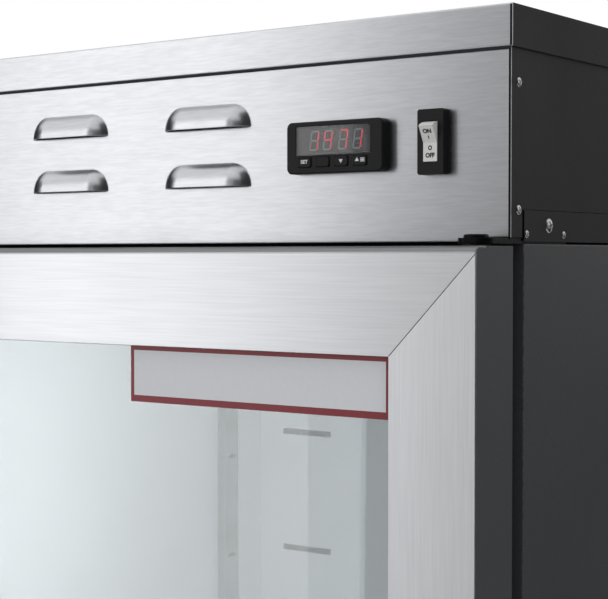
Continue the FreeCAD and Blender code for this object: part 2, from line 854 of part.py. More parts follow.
def make_canopy_front():
    """The brushed front panel: a flanged sheet with four pressed louvres and two cut-outs."""
    face_back = canopy_front + size.canopy_sheet
    flange_back = face_back + size.canopy_flange
    low, high = canopy_bottom, canopy_top
    pieces = [box("front_face", case_x, (canopy_front, face_back), (low, high))]
    for side, name in ((-1, "left"), (1, "right")):
        outer = half_width - size.canopy_sheet
        span = on_side(side, outer - size.canopy_sheet, outer)
        flange_low = low + size.tray_sheet if side < 0 else hinge_clear
        pieces.append(box(f"front_{name}_flange", span, (canopy_front, flange_back), (flange_low, high)))
    inner = half_width - size.canopy_sheet
    flange_y = (canopy_front, flange_back)
    pieces.append(box("front_top_flange", (-inner, inner), flange_y, (high - size.canopy_sheet, high)))
    floor_right = half_width - size.hinge_plate_width - size.hinge_notch_margin
    foot_z = (low + size.tray_sheet, low + size.tray_sheet + size.canopy_sheet)
    pieces.append(box("front_foot_flange", (-inner, floor_right), flange_y, foot_z))
    insides = []
    positions = [(x, z) for z in (size.louvre_low, size.louvre_high) for x in (-1, 1)]
    for number, (side, rise) in enumerate(positions, start=1):
        outside, inside = louvre_tools(number, side * size.louvre_half_pitch, canopy_bottom + rise)
        pieces.append(outside)
        insides.append(inside)
    through = (canopy_front, face_back)
    insides.append(box("controller_cutout", about(controller_x, size.cutout_width), through,
                       about(canopy_bottom + size.controller_rise, size.cutout_height)))
    insides.append(box("switch_cutout", about(switch_x, size.switch_body_width + size.fit_gap * 2), through,
                       about(canopy_bottom + size.switch_rise, size.switch_body_height + size.fit_gap * 2)))
    bore_radius = size.small_screw / 2 + size.screw_shank_gap
    for number, (y, z) in enumerate(side_screws()[:2], start=1):
        insides.append(prism_bar(f"front_screw_bores_{number}", bore_radius, screw_sides, case_x, y, z))
    arm_x = half_width - size.hinge_arm_width - size.hinge_edge_gap - size.hinge_notch_gap * 2
    insides.append(box("hinge_arm_notch", (arm_x, half_width), through, (canopy_bottom, hinge_clear)))
    cut("canopy_front_panel", fuse("front_sheet", *pieces), *insides)


def make_canopy_shell():
    """Tray, sides, rear and lid of the control canopy above the case."""
    face_back = canopy_front + size.canopy_sheet
    rear_face = case_rear - size.rear_set_in
    tray = body("canopy_base_tray")
    plinth = rectangle(shrink(case_x, size.plinth_inset), shrink((case_front, case_rear), size.plinth_inset))
    pad(tray, "plinth", "z", (case_top, canopy_bottom), plinth)
    floor_top = canopy_bottom + size.tray_sheet
    floor_x = shrink(case_x, size.canopy_sheet)
    flange_front = canopy_front + size.tray_set_back
    pad(tray, "floor", "z", (canopy_bottom, floor_top), rectangle(floor_x, (face_back, case_rear)))
    flange_z = (canopy_bottom, canopy_bottom + size.tray_flange_height)
    for side, name in ((-1, "left"), (1, "right")):
        span = on_side(side, half_width - size.canopy_sheet, half_width)
        pad(tray, f"{name}_flange", "x", span, rectangle((flange_front, case_rear), flange_z))
    notch_left = half_width - size.hinge_plate_width - size.hinge_notch_margin
    notch_back = canopy_front + size.hinge_plate_back + size.hinge_notch_margin
    notch_x = (notch_left, half_width - size.canopy_sheet)
    pocket(tray, "hinge_notch", "z", (case_top, hinge_clear), rectangle(notch_x, (face_back, notch_back)))
    for side, name in ((-1, "left"), (1, "right")):
        span = on_side(side, half_width - size.canopy_sheet, half_width)
        holes = [screw_hole(y, z, size.large_screw / 2) for y, z in tray_screws()]
        if side > 0:
            holes += [screw_hole(y, z, size.hinge_screw / 2) for y, z in hinge_screws()]
        pocket(tray, f"{name}_screw_holes", "x", span, *holes)

    shelf_low = canopy_bottom + size.tray_flange_height + size.joint_gap
    for side, name in ((-1, "left"), (1, "right")):
        panel = body(f"canopy_side_{name}")
        front_low = hinge_clear if side > 0 else canopy_bottom
        step = flange_front - size.slit
        outline = [
            (face_back, front_low), (step, front_low), (step, shelf_low),
            (case_rear, shelf_low), (case_rear, canopy_top), (face_back, canopy_top),
        ]
        pad(panel, "sheet", "x", on_side(side, half_width - size.canopy_sheet, half_width), outline)
        inner = half_width - size.canopy_sheet
        flange = rectangle(on_side(side, inner - size.canopy_flange, inner),
                           (face_back + size.canopy_flange + size.joint_gap, rear_face - size.canopy_flange))
        pad(panel, "top_flange", "z", (canopy_top - size.canopy_sheet, canopy_top), flange)
        holes = [screw_hole(y, z, size.small_screw / 2) for y, z in side_screws()]
        pocket(panel, "screw_holes", "x", on_side(side, half_width - size.canopy_sheet, half_width), *holes)

    rear = body("canopy_rear_panel")
    rear_y = (rear_face - size.canopy_sheet, rear_face)
    pad(rear, "sheet", "y", rear_y, rectangle(floor_x, (floor_top, canopy_top)))
    for side, name in ((-1, "left"), (1, "right")):
        span = on_side(side, floor_x[1] - size.canopy_sheet, floor_x[1])
        flange_y = (rear_y[0] - size.canopy_flange, rear_y[0])
        flange_z = (floor_top, canopy_top - size.canopy_sheet)
        pad(rear, f"{name}_flange", "x", span, rectangle(flange_y, flange_z))
        holes = [screw_hole(y, z, size.small_screw / 2) for y, z in side_screws()[2:]]
        pocket(rear, f"{name}_screw_holes", "x", span, *holes)
    inlet_z = canopy_bottom + size.inlet_rise
    pocket(rear, "inlet_cutout", "y", rear_y,
           rectangle(about(inlet_x, size.inlet_width + size.fit_gap * 2),
                     about(inlet_z, size.inlet_height + size.fit_gap * 2)))
    slit = rectangle(about(0, size.vent_width), about(inlet_z, size.vent_height))
    vent = pocket(rear, "vent", "y", rear_y, slit)
    repeat_along(rear, "vents", vent, "X_Axis", vent_count, size.vent_pitch * (vent_count - 1))

    lid_half = half_width + lid_overhang
    lid_front, lid_rear = canopy_front - size.lid_clearance, case_rear + lid_overhang
    lid = body("lid_panel")
    pad(lid, "top", "z", (canopy_top, lid_top), rectangle((-lid_half, lid_half), (lid_front, lid_rear)))
    inner, lip_inner = lid_half - size.lid_sheet, lid_rear - size.lid_sheet
    lip_front = lid_front + size.lid_seam
    lips = [
        (-lid_half, lip_front), (-inner, lip_front), (-inner, lip_inner), (inner, lip_inner),
        (inner, lip_front), (lid_half, lip_front), (lid_half, lid_rear), (-lid_half, lid_rear),
    ]
    pad(lid, "lips", "z", (lid_top - size.lid_lip, canopy_top), lips)
    trim = body("lid_front_trim")
    trim_y = (lid_front - size.lid_sheet, lid_front)
    pad(trim, "strip", "y", trim_y, rectangle((-lid_half, lid_half), (lid_top - size.lid_lip, lid_top)))
    dress(trim, "Fillet", "edges", size.lid_edge_round,
          lambda edge: runs(edge, "x") and lies(edge, y=trim_y[0]))


def side_screws():
    """Places in Y and Z of the small screws of a canopy side panel: two in front, two at the rear."""
    front = canopy_front + size.side_screw_front
    rear = case_rear - size.side_screw_rear
    low, high = canopy_bottom + size.tray_flange_height, canopy_top - size.side_screw_drop
    return ((front, low), (front, high), (rear, low + size.canopy_flange), (rear, high))


def tray_screws():
    """Places in Y and Z of the larger screws in each side flange of the tray."""
    front = canopy_front + size.tray_screw_back
    return ((front, canopy_bottom + size.tray_screw_rise),
            (case_rear - size.tray_screw_back, canopy_bottom + size.tray_screw_rise))


def hinge_screws():
    """Places in Y and Z of the screws that tie the upper hinge's lug to the tray's right flange."""
    level = canopy_bottom + size.hinge_screw_rise
    return ((canopy_front + size.hinge_screw_front, level), (canopy_front + size.hinge_screw_back, level))


def screw(name, side, y, z, radius, reach):
    """A screw in a side wall; the shank reaches inward through the sheets."""
    head_x = on_side(side, half_width, half_width + radius * size.screw_head_rise)
    shank_x = on_side(side, half_width - reach, half_width)
    head = prism_bar(f"{name}_head", radius, small_round_sides, head_x, y, z)
    shank = prism_bar(f"{name}_shank", radius / 2, screw_sides, shank_x, y, z)
    return fuse(name, head, shank)


def make_screws():
    canopy, trays = [], []
    two_sheets = size.canopy_sheet * 2
    for side, name in ((-1, "left"), (1, "right")):
        for number, (y, z) in enumerate(side_screws(), start=1):
            canopy.append(screw(f"canopy_screw_{name}_{number}", side, y, z, size.small_screw, two_sheets))
        for number, (y, z) in enumerate(tray_screws(), start=1):
            trays.append(screw(f"tray_screw_{name}_{number}", side, y, z, size.large_screw, two_sheets))
    group("canopy_screws", *canopy)
    group("tray_screws", *trays)
    through_lug = size.canopy_sheet + size.hinge_notch_gap + size.hinge_plate
    hinge = [screw(f"hinge_screw_{number}", 1, y, z, size.hinge_screw, through_lug)
             for number, (y, z) in enumerate(hinge_screws(), start=1)]
    group("hinge_screws", *hinge)


def make_controller():
    """A panel thermostat in its standard cut-out: bezel, case, window, display, four keys and two clips."""
    x, z = controller_x, canopy_bottom + size.controller_rise
    face = canopy_front - size.bezel_depth
    inner_face = face + size.bezel_wall
    window_x, window_z = x - size.keys_shift, z + size.window_rise
    keys = [(window_x + size.button_pitch * step, z - size.button_drop) for step in (-1.5, -0.5, 0.5, 1.5)]
    bezel = body("controller_bezel")
    bezel_x, bezel_z = about(x, size.bezel_width), about(z, size.bezel_height)
    pad(bezel, "block", "y", (face, canopy_front), rectangle(bezel_x, bezel_z))
    dress(bezel, "Fillet", "corners", size.bezel_corner, lambda edge: runs(edge, "y"))
    dress(bezel, "Chamfer", "front_edge", size.bezel_edge, lambda edge: lies(edge, y=face))
    hollow = rectangle(shrink(bezel_x, size.bezel_wall), shrink(bezel_z, size.bezel_wall))
    pocket(bezel, "hollow", "y", (inner_face, canopy_front), hollow)
    gap = size.fit_gap
    hole_width, hole_height = size.button_width + gap * 2, size.button_height + gap * 2
    holes = [rectangle(about(across, hole_width), about(upward, hole_height)) for across, upward in keys]
    window = rectangle(about(window_x, size.window_width), about(window_z, size.window_height))
    pocket(bezel, "openings", "y", (face, inner_face), window, *holes)

    pane = body("controller_window")
    pane_y = (face + size.window_sink, face + size.window_sink + size.window_thickness)
    pane_x, pane_z = about(window_x, size.window_width - gap), about(window_z, size.window_height - gap)
    pad(pane, "pane", "y", pane_y, rectangle(pane_x, pane_z))

    display = body("display_module")
    pad(display, "block", "y", (pane_y[1] + gap, canopy_front),
        rectangle(about(window_x, size.display_width), about(window_z, size.display_height)))

    case = body("controller_case")
    clear = size.cutout_clearance * 2
    case_outline = rectangle(about(x, size.cutout_width - clear), about(z, size.cutout_height - clear))
    pad(case, "block", "y", (canopy_front, canopy_front + size.controller_depth), case_outline)

    clips = body("controller_clips")
    clip_front = canopy_front + size.canopy_sheet
    clip_y = (clip_front, clip_front + size.controller_clip_length)
    case_half = (size.cutout_width - clear) / 2
    wedges = []
    for side in (-1, 1):
        near, far = x + side * case_half, x + side * (case_half + size.controller_clip)
        thin = near + side * size.bezel_wall
        wedges.append([(near, clip_y[0]), (far, clip_y[0]), (thin, clip_y[1]), (near, clip_y[1])])
    pad(clips, "wedges", "z", about(z, size.controller_clip * 2), *wedges)

    for name, (across, upward) in zip(("set", "mode", "down", "up"), keys):
        key = body(f"button_{name}")
        key_y = (face - size.button_proud, canopy_front - size.button_stem_end)
        outline = rectangle(about(across, size.button_width), about(upward, size.button_height))
        pad(key, "cap", "y", key_y, outline)
        dress(key, "Chamfer", "corners", size.button_corner, lambda edge: runs(edge, "y"))


def make_switch():
    """A rocker switch: the rocker is a disc segment with a V face on its own pivot pins."""
    x, z = switch_x, canopy_bottom + size.switch_rise
    face = canopy_front - size.switch_proud
    pivot_y = face + size.rocker_pivot_back
    housing = body("switch_housing")
    flange = rectangle(about(x, size.switch_width), about(z, size.switch_height))
    pad(housing, "flange", "y", (face, canopy_front), flange)
    dress(housing, "Chamfer", "corners", size.switch_corner, lambda edge: runs(edge, "y"))
    body_back = canopy_front + size.switch_body_depth
    pad(housing, "body", "y", (canopy_front, body_back),
        rectangle(about(x, size.switch_body_width), about(z, size.switch_body_height)))
    well_x = about(x, size.rocker_width + size.rocker_gap * 2)
    well_z = about(z, (size.rocker_radius + size.rocker_gap) * 2)
    pocket(housing, "well", "y", (face, face + size.switch_well), rectangle(well_x, well_z))
    pin_reach = size.rocker_width / 2 + size.rocker_pin_reach
    bore = circle(pivot_y, z, size.rocker_pin_radius + size.rocker_pin_clearance)
    pocket(housing, "pivot_holes", "x", about(x, (pin_reach + size.rocker_gap) * 2), bore)
    spade_x = about(x, size.spade_width)
    spade_levels = [z + size.spade_length * step for step in (-1, 0, 1)]
    blades = [rectangle(spade_x, about(level, size.spade_thickness)) for level in spade_levels]
    pad(housing, "spades", "y", (body_back, body_back + size.spade_length), *blades)

    rocker = body("rocker")
    half = size.rocker_width / 2
    pad(rocker, "disc", "x", (-half, half), circle(0, 0, size.rocker_radius))
    far = size.rocker_radius * 2
    rise = far * tangent(size.rocker_tilt)
    nose = -size.rocker_nose
    pocket(rocker, "v_face", "x", (-half, half),
           [(nose, 0), (nose - rise, far), (nose - far, far), (nose - far, -far), (nose - rise, -far)])
    pocket(rocker, "flat_back", "x", (-half, half), rectangle((size.rocker_rear, far), (-far, far)))
    pad(rocker, "pins", "x", (-pin_reach, pin_reach), circle(0, 0, size.rocker_pin_radius))
    rocker.Placement = FreeCAD.Placement(Vector(), FreeCAD.Rotation(Vector(1, 0, 0), 1))
    rocker.setExpression("Placement.Rotation.Angle", words(size.rocker_tilt))
    place(rocker, x, pivot_y, z)


def make_mains():
    """The mains inlet in the canopy's rear panel and the terminal block on its tray."""
    x, z = inlet_x, canopy_bottom + size.inlet_rise
    outer = case_rear - size.rear_set_in
    inlet = body("power_inlet")
    flange_y = (outer, outer + size.inlet_flange_thickness)
    shell_x, shell_z = about(x, size.inlet_width), about(z, size.inlet_height)
    flange = rectangle(shrink(shell_x, -size.inlet_flange), shrink(shell_z, -size.inlet_flange))
    pad(inlet, "flange", "y", flange_y, flange)
    floor_y = outer - size.inlet_depth
    pad(inlet, "shell", "y", (floor_y, outer), rectangle(shell_x, shell_z))
    socket = rectangle(shrink(shell_x, size.inlet_wall), shrink(shell_z, size.inlet_wall))
    pocket(inlet, "socket", "y", (floor_y + size.inlet_wall, flange_y[1]), socket)
    pins = []
    for step, fall in ((-1, size.inlet_pin_drop), (0, 0), (1, size.inlet_pin_drop)):
        across = about(x + size.inlet_pin_spacing * step, size.inlet_pin_thickness)
        pins.append(rectangle(across, about(z - fall, size.inlet_pin_width)))
    root = floor_y + size.inlet_wall
    pad(inlet, "pins", "y", (root, root + size.inlet_pin_length), *pins)

    block = body("terminal_block")
    floor = canopy_bottom + size.tray_sheet
    block_y = about(outer - size.wall * 2, size.terminal_depth)
    top = floor + size.terminal_height
    pad(block, "base", "z", (floor, top), rectangle(about(x, size.terminal_width), block_y))
    cell_y = shrink(block_y, size.terminal_cell_inset)
    cells = [rectangle(about(x + size.terminal_cell_pitch * step, size.terminal_cell), cell_y)
             for step in (-2, -1, 0, 1, 2)]
    pocket(block, "cells", "z", (top - size.terminal_cell_depth, top), *cells)


def make_hinges():
    """Plates on the case carry a pin above and below the door, and bushes in the door turn on them."""
    right = half_width - size.hinge_edge_gap
    arm_left = right - size.hinge_arm_width
    plate_left = right - size.hinge_plate_width
    nose = hinge_y - size.hinge_arm_nose
    plate_back = canopy_front + size.hinge_plate_back
    step_y = canopy_front + size.tray_set_back - size.hinge_notch_gap
    behind = half_width - size.canopy_sheet - size.hinge_notch_gap
    outline = [
        (arm_left, nose), (right, nose), (right, step_y), (behind, step_y), (behind, plate_back),
        (plate_left, plate_back), (plate_left, case_front), (arm_left, case_front),
    ]
    pins, bushes = [], []
    ends = {
        "top": (1, case_top, door_top),
        "bottom": (-1, case_bottom, door_bottom),
    }
    for name, (way, seat, door_end) in ends.items():
        def stack(start, end):
            """The pair in rising order of Z, whichever way the end faces."""
            return (start, end) if way > 0 else (end, start)

        outer = seat + way * size.hinge_plate
        bracket = body(f"hinge_bracket_{name}")
        pad(bracket, "plate", "z", stack(seat, outer), outline)
        dress(bracket, "Fillet", "nose", size.hinge_arm_corner,
              lambda edge: runs(edge, "z") and lies(edge, y=nose))
        pocket(bracket, "pin_hole", "z", stack(seat, outer),
               circle(hinge_x, hinge_y, size.pin_radius + size.pin_clearance))
        if way > 0:
            lug_x = (behind - size.hinge_plate, behind)
            lug = rectangle((step_y, plate_back), (outer, outer + size.hinge_lug_height))
            pad(bracket, "lug", "x", lug_x, lug)
            lug_holes = [screw_hole(y, z, size.hinge_screw / 2) for y, z in hinge_screws()]
            lug_holes += [screw_hole(y, z, size.large_screw / 2) for y, z in tray_screws()[:1]]
            pocket(bracket, "lug_holes", "x", lug_x, *lug_holes)
        head = prism_bar(f"{name}_pin_head", size.pin_head_radius, small_round_sides, hinge_x, hinge_y,
                         stack(outer, outer + way * size.pin_head_height))
        shank = round_bar(f"{name}_pin_shank", size.pin_radius, hinge_x, hinge_y,
                          stack(seat - way * size.pin_length, outer))
        pins.append(fuse(f"{name}_hinge_pin", head, shank))

        bush_end = door_end - way * size.bush_length
        flange_end = door_end + way * size.bush_flange_height
        sleeve = prism_bar(f"{name}_bush_sleeve", size.bush_radius, small_round_sides,
                           hinge_x, hinge_y, stack(bush_end, door_end))
        flange = prism_bar(f"{name}_bush_flange", size.bush_flange_radius, small_round_sides,
                           hinge_x, hinge_y, stack(door_end, flange_end))
        bore = round_bar(f"{name}_bush_bore", size.pin_radius + size.pin_clearance, hinge_x, hinge_y,
                         stack(bush_end, flange_end))
        bushes.append(cut(f"{name}_hinge_bush", fuse(f"{name}_bush_body", sleeve, flange), bore))
    group("hinge_pins", *pins)
    group("hinge_bushes", *bushes)


def make_door_frame():
    """The door's black core: a picture frame, rebated for the glass, with bush holes and stepped edges."""
    core = body("door_frame")
    core_front = door_front + size.trim_sheet
    pad(core, "block", "y", (core_front, door_back), rectangle(door_x, door_z))
    rebate_x = shrink(door_x, size.stile_cover - size.glass_cover)
    rebate_z = shrink(door_z, size.rail_cover - size.glass_cover)
    pocket(core, "rebate", "y", (core_front, glass_back), rectangle(rebate_x, rebate_z))
    sight_x = shrink(door_x, size.stile_cover + size.ledge_cover)
    sight_z = shrink(door_z, size.rail_cover + size.ledge_cover)
    pocket(core, "opening", "y", (glass_back, door_back), rectangle(sight_x, sight_z))
    step_y = (core_front, door_front + size.trim_return)
    steps = [
        rectangle(step_y, (door_top - size.trim_sheet, door_top)),
        rectangle(step_y, (door_bottom, door_bottom + size.trim_sheet)),
    ]
    pocket(core, "steps", "x", door_x, *steps)
    dress(core, "Fillet", "bends", size.trim_bend - size.trim_sheet,
          lambda edge: runs(edge, "x") and lies(edge, y=core_front)
          and (lies(edge, z=door_top - size.trim_sheet) or lies(edge, z=door_bottom + size.trim_sheet)))
    hole = polygon(hinge_x, hinge_y, size.bush_radius, small_round_sides)
    pocket(core, "top_bush_hole", "z", (door_top - size.bush_length, door_top), hole)
    pocket(core, "bottom_bush_hole", "z", (door_bottom, door_bottom + size.bush_length), hole)


def make_door_trims():
    """Stainless covers, mitred at the corners; the top and bottom ones bend over the door's edges."""
    sheet_back = door_front + size.trim_sheet
    lip_back = door_front + size.trim_lip
    rails = {"top": (-1, door_top), "bottom": (1, door_bottom)}
    for name, (inward, edge_z) in rails.items():
        trim = body(f"door_trim_{name}")
        inner = edge_z + inward * size.rail_cover
        sheet_z = edge_z + inward * size.trim_sheet
        return_y = door_front + size.trim_return
        pad(trim, "profile", "x", door_x, [
            (door_front, inner), (door_front, edge_z), (return_y, edge_z), (return_y, sheet_z),
            (sheet_back, sheet_z), (sheet_back, inner - inward * size.trim_sheet),
            (lip_back, inner - inward * size.trim_sheet), (lip_back, inner),
        ])
        dress(trim, "Fillet", "outer_bend", size.trim_bend,
              lambda edge: runs(edge, "x") and lies(edge, y=door_front, z=edge_z))
        dress(trim, "Fillet", "inner_bend", size.trim_bend - size.trim_sheet,
              lambda edge: runs(edge, "x") and lies(edge, y=sheet_back, z=sheet_z))
        start = edge_z + inward * (size.trim_bend + size.mitre_gap)
        wedges = []
        for side in (-1, 1):
            outer, corner = side * door_half, side * (door_half - size.stile_cover)
            beyond = outer + side * size.trim_bend
            past = inner + inward * size.trim_bend
            wedges.append([
                (beyond, start), (outer, start), (corner, inner + inward * size.mitre_gap),
                (corner, past), (beyond, past),
            ])
        pocket(trim, "mitres", "y", (door_front, lip_back), *wedges)

    for name, side in (("left", -1), ("right", 1)):
        trim = body(f"door_trim_{name}")
        outer, inner = side * door_half, side * (door_half - size.stile_cover)
        fold = inner + side * size.trim_sheet
        low, high = door_bottom + size.trim_bend, door_top - size.trim_bend
        pad(trim, "profile", "z", (low, high), [
            (outer, door_front), (inner, door_front), (inner, lip_back),
            (fold, lip_back), (fold, sheet_back), (outer, sheet_back),
        ])
        ends = ((low, door_bottom + size.rail_cover, -1), (high, door_top - size.rail_cover, 1))
        wedges = []
        for tip, corner_z, way in ends:
            start, corner = tip - way * size.mitre_gap, corner_z - way * size.mitre_gap
            past = tip + way * size.trim_bend
            within, without = inner - side * size.trim_bend, outer + side * size.trim_bend
            wedges.append([
                (without, start), (outer, start), (inner, corner),
                (within, corner), (within, past), (without, past),
            ])
        pocket(trim, "mitres", "y", (door_front, lip_back), *wedges)


def make_door_glazing():
    """A sealed double pane that sits against the core's ledge, and the magnetic gasket behind the door."""
    glass_x = shrink(door_x, size.stile_cover - size.glass_cover + size.glazing_gap)
    glass_z = shrink(door_z, size.rail_cover - size.glass_cover + size.glazing_gap)
    spacer_front = glass_front + size.pane
    spacer_back = spacer_front + size.pane_space
    outer = body("glass_outer_pane")
    pad(outer, "pane", "y", (glass_front, spacer_front), rectangle(glass_x, glass_z))
    spacer = body("glass_spacer")
    pad(spacer, "ring", "y", (spacer_front, spacer_back), rectangle(glass_x, glass_z),
        rectangle(shrink(glass_x, size.spacer_width), shrink(glass_z, size.spacer_width)))
    inner = body("glass_inner_pane")
    pad(inner, "pane", "y", (spacer_back, glass_back), rectangle(glass_x, glass_z))

    gasket = body("door_gasket")
    gasket_x, gasket_z = shrink(door_x, size.gasket_inset), shrink(door_z, size.gasket_inset)
    base_y = (door_back, door_back + size.gasket_base)
    head_back = case_front - size.gasket_gap
    bellows_y = (base_y[1], head_back - size.gasket_head)
    waist = (size.gasket_width - size.gasket_bellows) / 2
    for name, span, margin in (("base", base_y, 0), ("bellows", bellows_y, waist),
                               ("head", (bellows_y[1], head_back), size.gasket_base / 2)):
        far = size.gasket_width - margin
        pad(gasket, name, "y", span,
            rectangle(shrink(gasket_x, margin), shrink(gasket_z, margin)),
            rectangle(shrink(gasket_x, far), shrink(gasket_z, far)))


def make_handle():
    """A bar pull on two posts, on the side away from the hinges."""
    x = -(door_half - size.stile_cover / 2)
    bar_y = door_front - size.handle_reach + size.handle_radius
    low, high = about(size.handle_height, size.handle_length)
    handle = body("door_handle")
    pad(handle, "bar", "z", (low, high), polygon(0, 0, size.handle_radius, large_round_sides))
    dress(handle, "Chamfer", "caps", size.handle_cap, lambda edge: lies(edge, z=low) or lies(edge, z=high))
    posts = [polygon(0, level, size.handle_post_radius, small_round_sides)
             for level in (low + size.handle_post_inset, high - size.handle_post_inset)]
    pad(handle, "posts", "y", (0, door_front - bar_y), *posts)
    place(handle, x, bar_y, 0)


make_case()
make_base()
make_shelves()
make_air_system()
make_canopy_front()
make_canopy_shell()
make_screws()
make_controller()
make_switch()
make_mains()
make_hinges()
make_door_frame()
make_door_trims()
make_door_glazing()
make_handle()
doc.recompute()

for item in doc.Objects:
    if "Invalid" in item.State or "Error" in item.State:
        raise RuntimeError(f"{item.Label} did not build: {item.State}")
for feature in pockets:
    if feature.Shape.Volume >= feature.BaseFeature.Shape.Volume:
        raise RuntimeError(f"{feature.Label} cuts nothing")

inner_pieces = {piece for item in doc.Objects if item.TypeId.startswith("Part::") for piece in item.OutList}
sub_parts = [
    item for item in doc.Objects
    if item.TypeId == "PartDesign::Body" or item.TypeId.startswith("Part::") and item not in inner_pieces
]
os.makedirs("parts", exist_ok=True)
for part in sub_parts:
    shape = part.Shape
    if shape.isNull() or not shape.isValid():
        raise RuntimeError(f"{part.Label} is not a valid solid")
    shape.exportStep(f"parts/{part.Label}.step")
print(len(sub_parts), "sub-parts written")
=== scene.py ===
import json
import math

import bpy
from mathutils import Matrix, Vector


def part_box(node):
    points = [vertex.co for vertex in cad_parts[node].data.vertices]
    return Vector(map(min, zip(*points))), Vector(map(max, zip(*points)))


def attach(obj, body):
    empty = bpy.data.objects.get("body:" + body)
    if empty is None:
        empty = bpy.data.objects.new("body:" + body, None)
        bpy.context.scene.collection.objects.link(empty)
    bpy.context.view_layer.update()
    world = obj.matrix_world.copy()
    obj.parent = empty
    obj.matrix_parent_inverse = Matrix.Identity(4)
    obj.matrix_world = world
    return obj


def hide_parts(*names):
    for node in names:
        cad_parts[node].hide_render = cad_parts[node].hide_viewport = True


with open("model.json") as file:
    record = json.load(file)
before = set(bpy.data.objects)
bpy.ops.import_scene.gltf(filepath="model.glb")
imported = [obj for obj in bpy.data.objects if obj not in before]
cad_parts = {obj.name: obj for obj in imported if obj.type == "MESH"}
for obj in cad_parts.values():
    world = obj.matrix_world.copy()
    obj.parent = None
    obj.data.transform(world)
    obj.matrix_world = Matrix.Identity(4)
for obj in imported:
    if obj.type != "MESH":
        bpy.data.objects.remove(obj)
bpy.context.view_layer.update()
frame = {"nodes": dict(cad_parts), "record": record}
nodes = frame["nodes"]
slotOf = {row["node"]: row["material_slot"] for row in frame["record"]["subparts"]}
bpy.context.scene.view_settings.view_transform = "Standard"


# small helpers for picking and finishing
def linear(value):  # a screen grey from 0 to 255 as the shader's own number
    share = value / 255
    return share / 12.92 if share <= 0.04045 else ((share + 0.055) / 1.055) ** 2.4


def colour(red, green, blue):
    return (linear(red), linear(green), linear(blue), 1.0)


def clearChoice():
    if bpy.context.object and bpy.context.object.mode != "OBJECT":
        bpy.ops.object.mode_set(mode="OBJECT")
    bpy.ops.object.select_all(action="DESELECT")


def choose(*pieces):
    clearChoice()
    for piece in pieces:
        piece.select_set(True)
    bpy.context.view_layer.objects.active = pieces[0]


def pick(piece, kind, test):  # goes into edit mode with the faces or points that pass the test selected
    choose(piece)
    bpy.ops.object.mode_set(mode="EDIT")
    bpy.ops.mesh.select_mode(type=kind)
    bpy.ops.mesh.select_all(action="DESELECT")
    bpy.ops.object.mode_set(mode="OBJECT")
    for part in piece.data.polygons if kind == "FACE" else piece.data.vertices:
        part.select = test(part)
    bpy.ops.object.mode_set(mode="EDIT")


def backToObject():
    bpy.ops.object.mode_set(mode="OBJECT")


def fixPlace(piece):
    choose(piece)
    bpy.ops.object.transform_apply(location=True, rotation=True, scale=True)
    return piece


def softenEdges(piece, width, segments=3, angle=35):
    choose(piece)
    bevel = piece.modifiers.new("soften", "BEVEL")
    bevel.width = width
    bevel.segments = segments
    bevel.limit_method = "ANGLE"
    bevel.angle_limit = math.radians(angle)
    bpy.ops.object.modifier_apply(modifier=bevel.name)
    return smooth(piece)


def smooth(piece, angle=40):
    choose(piece)
    bpy.ops.object.shade_smooth_by_angle(angle=math.radians(angle))
    return piece


def cutAway(piece, tool):
    choose(piece)
    cutter = piece.modifiers.new("cut", "BOOLEAN")
    cutter.operation = "DIFFERENCE"
    cutter.solver = "EXACT"
    cutter.object = tool
    bpy.ops.object.modifier_apply(modifier=cutter.name)
    bpy.data.objects.remove(tool)
    return piece


def copyTo(piece, name, matrix):  # each copy has its own mesh
    twin = piece.copy()
    twin.data = piece.data.copy()
    twin.name = name
    bpy.context.scene.collection.objects.link(twin)
    twin.data.transform(matrix)
    return twin


def joinAs(name, pieces):
    choose(*pieces)
    if len(pieces) > 1:
        bpy.ops.object.join()
    joined = bpy.context.object
    joined.name = name
    return joined


def turned(angle, axis):
    return Matrix.Rotation(math.radians(angle), 4, axis)


def rod(start, end, radius, sides=16):
    clearChoice()
    line = Vector(end) - Vector(start)
    bpy.ops.mesh.primitive_cylinder_add(vertices=sides, radius=radius, depth=line.length,
                                        location=(Vector(start) + Vector(end)) / 2,
                                        rotation=line.to_track_quat("Z", "Y").to_euler())
    return fixPlace(bpy.context.object)


def block(corner, opposite):  # the two corners may stand in any order
    clearChoice()
    size = [abs(there - here) for here, there in zip(corner, opposite)]
    bpy.ops.mesh.primitive_cube_add(size=1, location=(Vector(corner) + Vector(opposite)) / 2, scale=size)
    return fixPlace(bpy.context.object)


def give(piece, finish, body, slotName, *stoodFor):
    piece.data.materials.clear()
    piece.data.materials.append(finish)
    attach(piece, body)
    if stoodFor:
        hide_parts(*stoodFor)
    return piece


# camera
camera = {"place": (0.74842, -1.0624, 1.74688), "turnLeft": 36.43, "lookDown": 1.553, "lens": 91.7}
bpy.ops.object.camera_add(location=camera["place"], rotation=(
    math.radians(90 - camera["lookDown"]), 0, math.radians(camera["turnLeft"])))
viewer = bpy.context.object
viewer.name = "viewer"
viewer.data.lens = camera["lens"]
viewer.data.sensor_width = 36
viewer.data.clip_start = 0.02
viewer.data.clip_end = 60
bpy.context.scene.camera = viewer
print("camera placed")

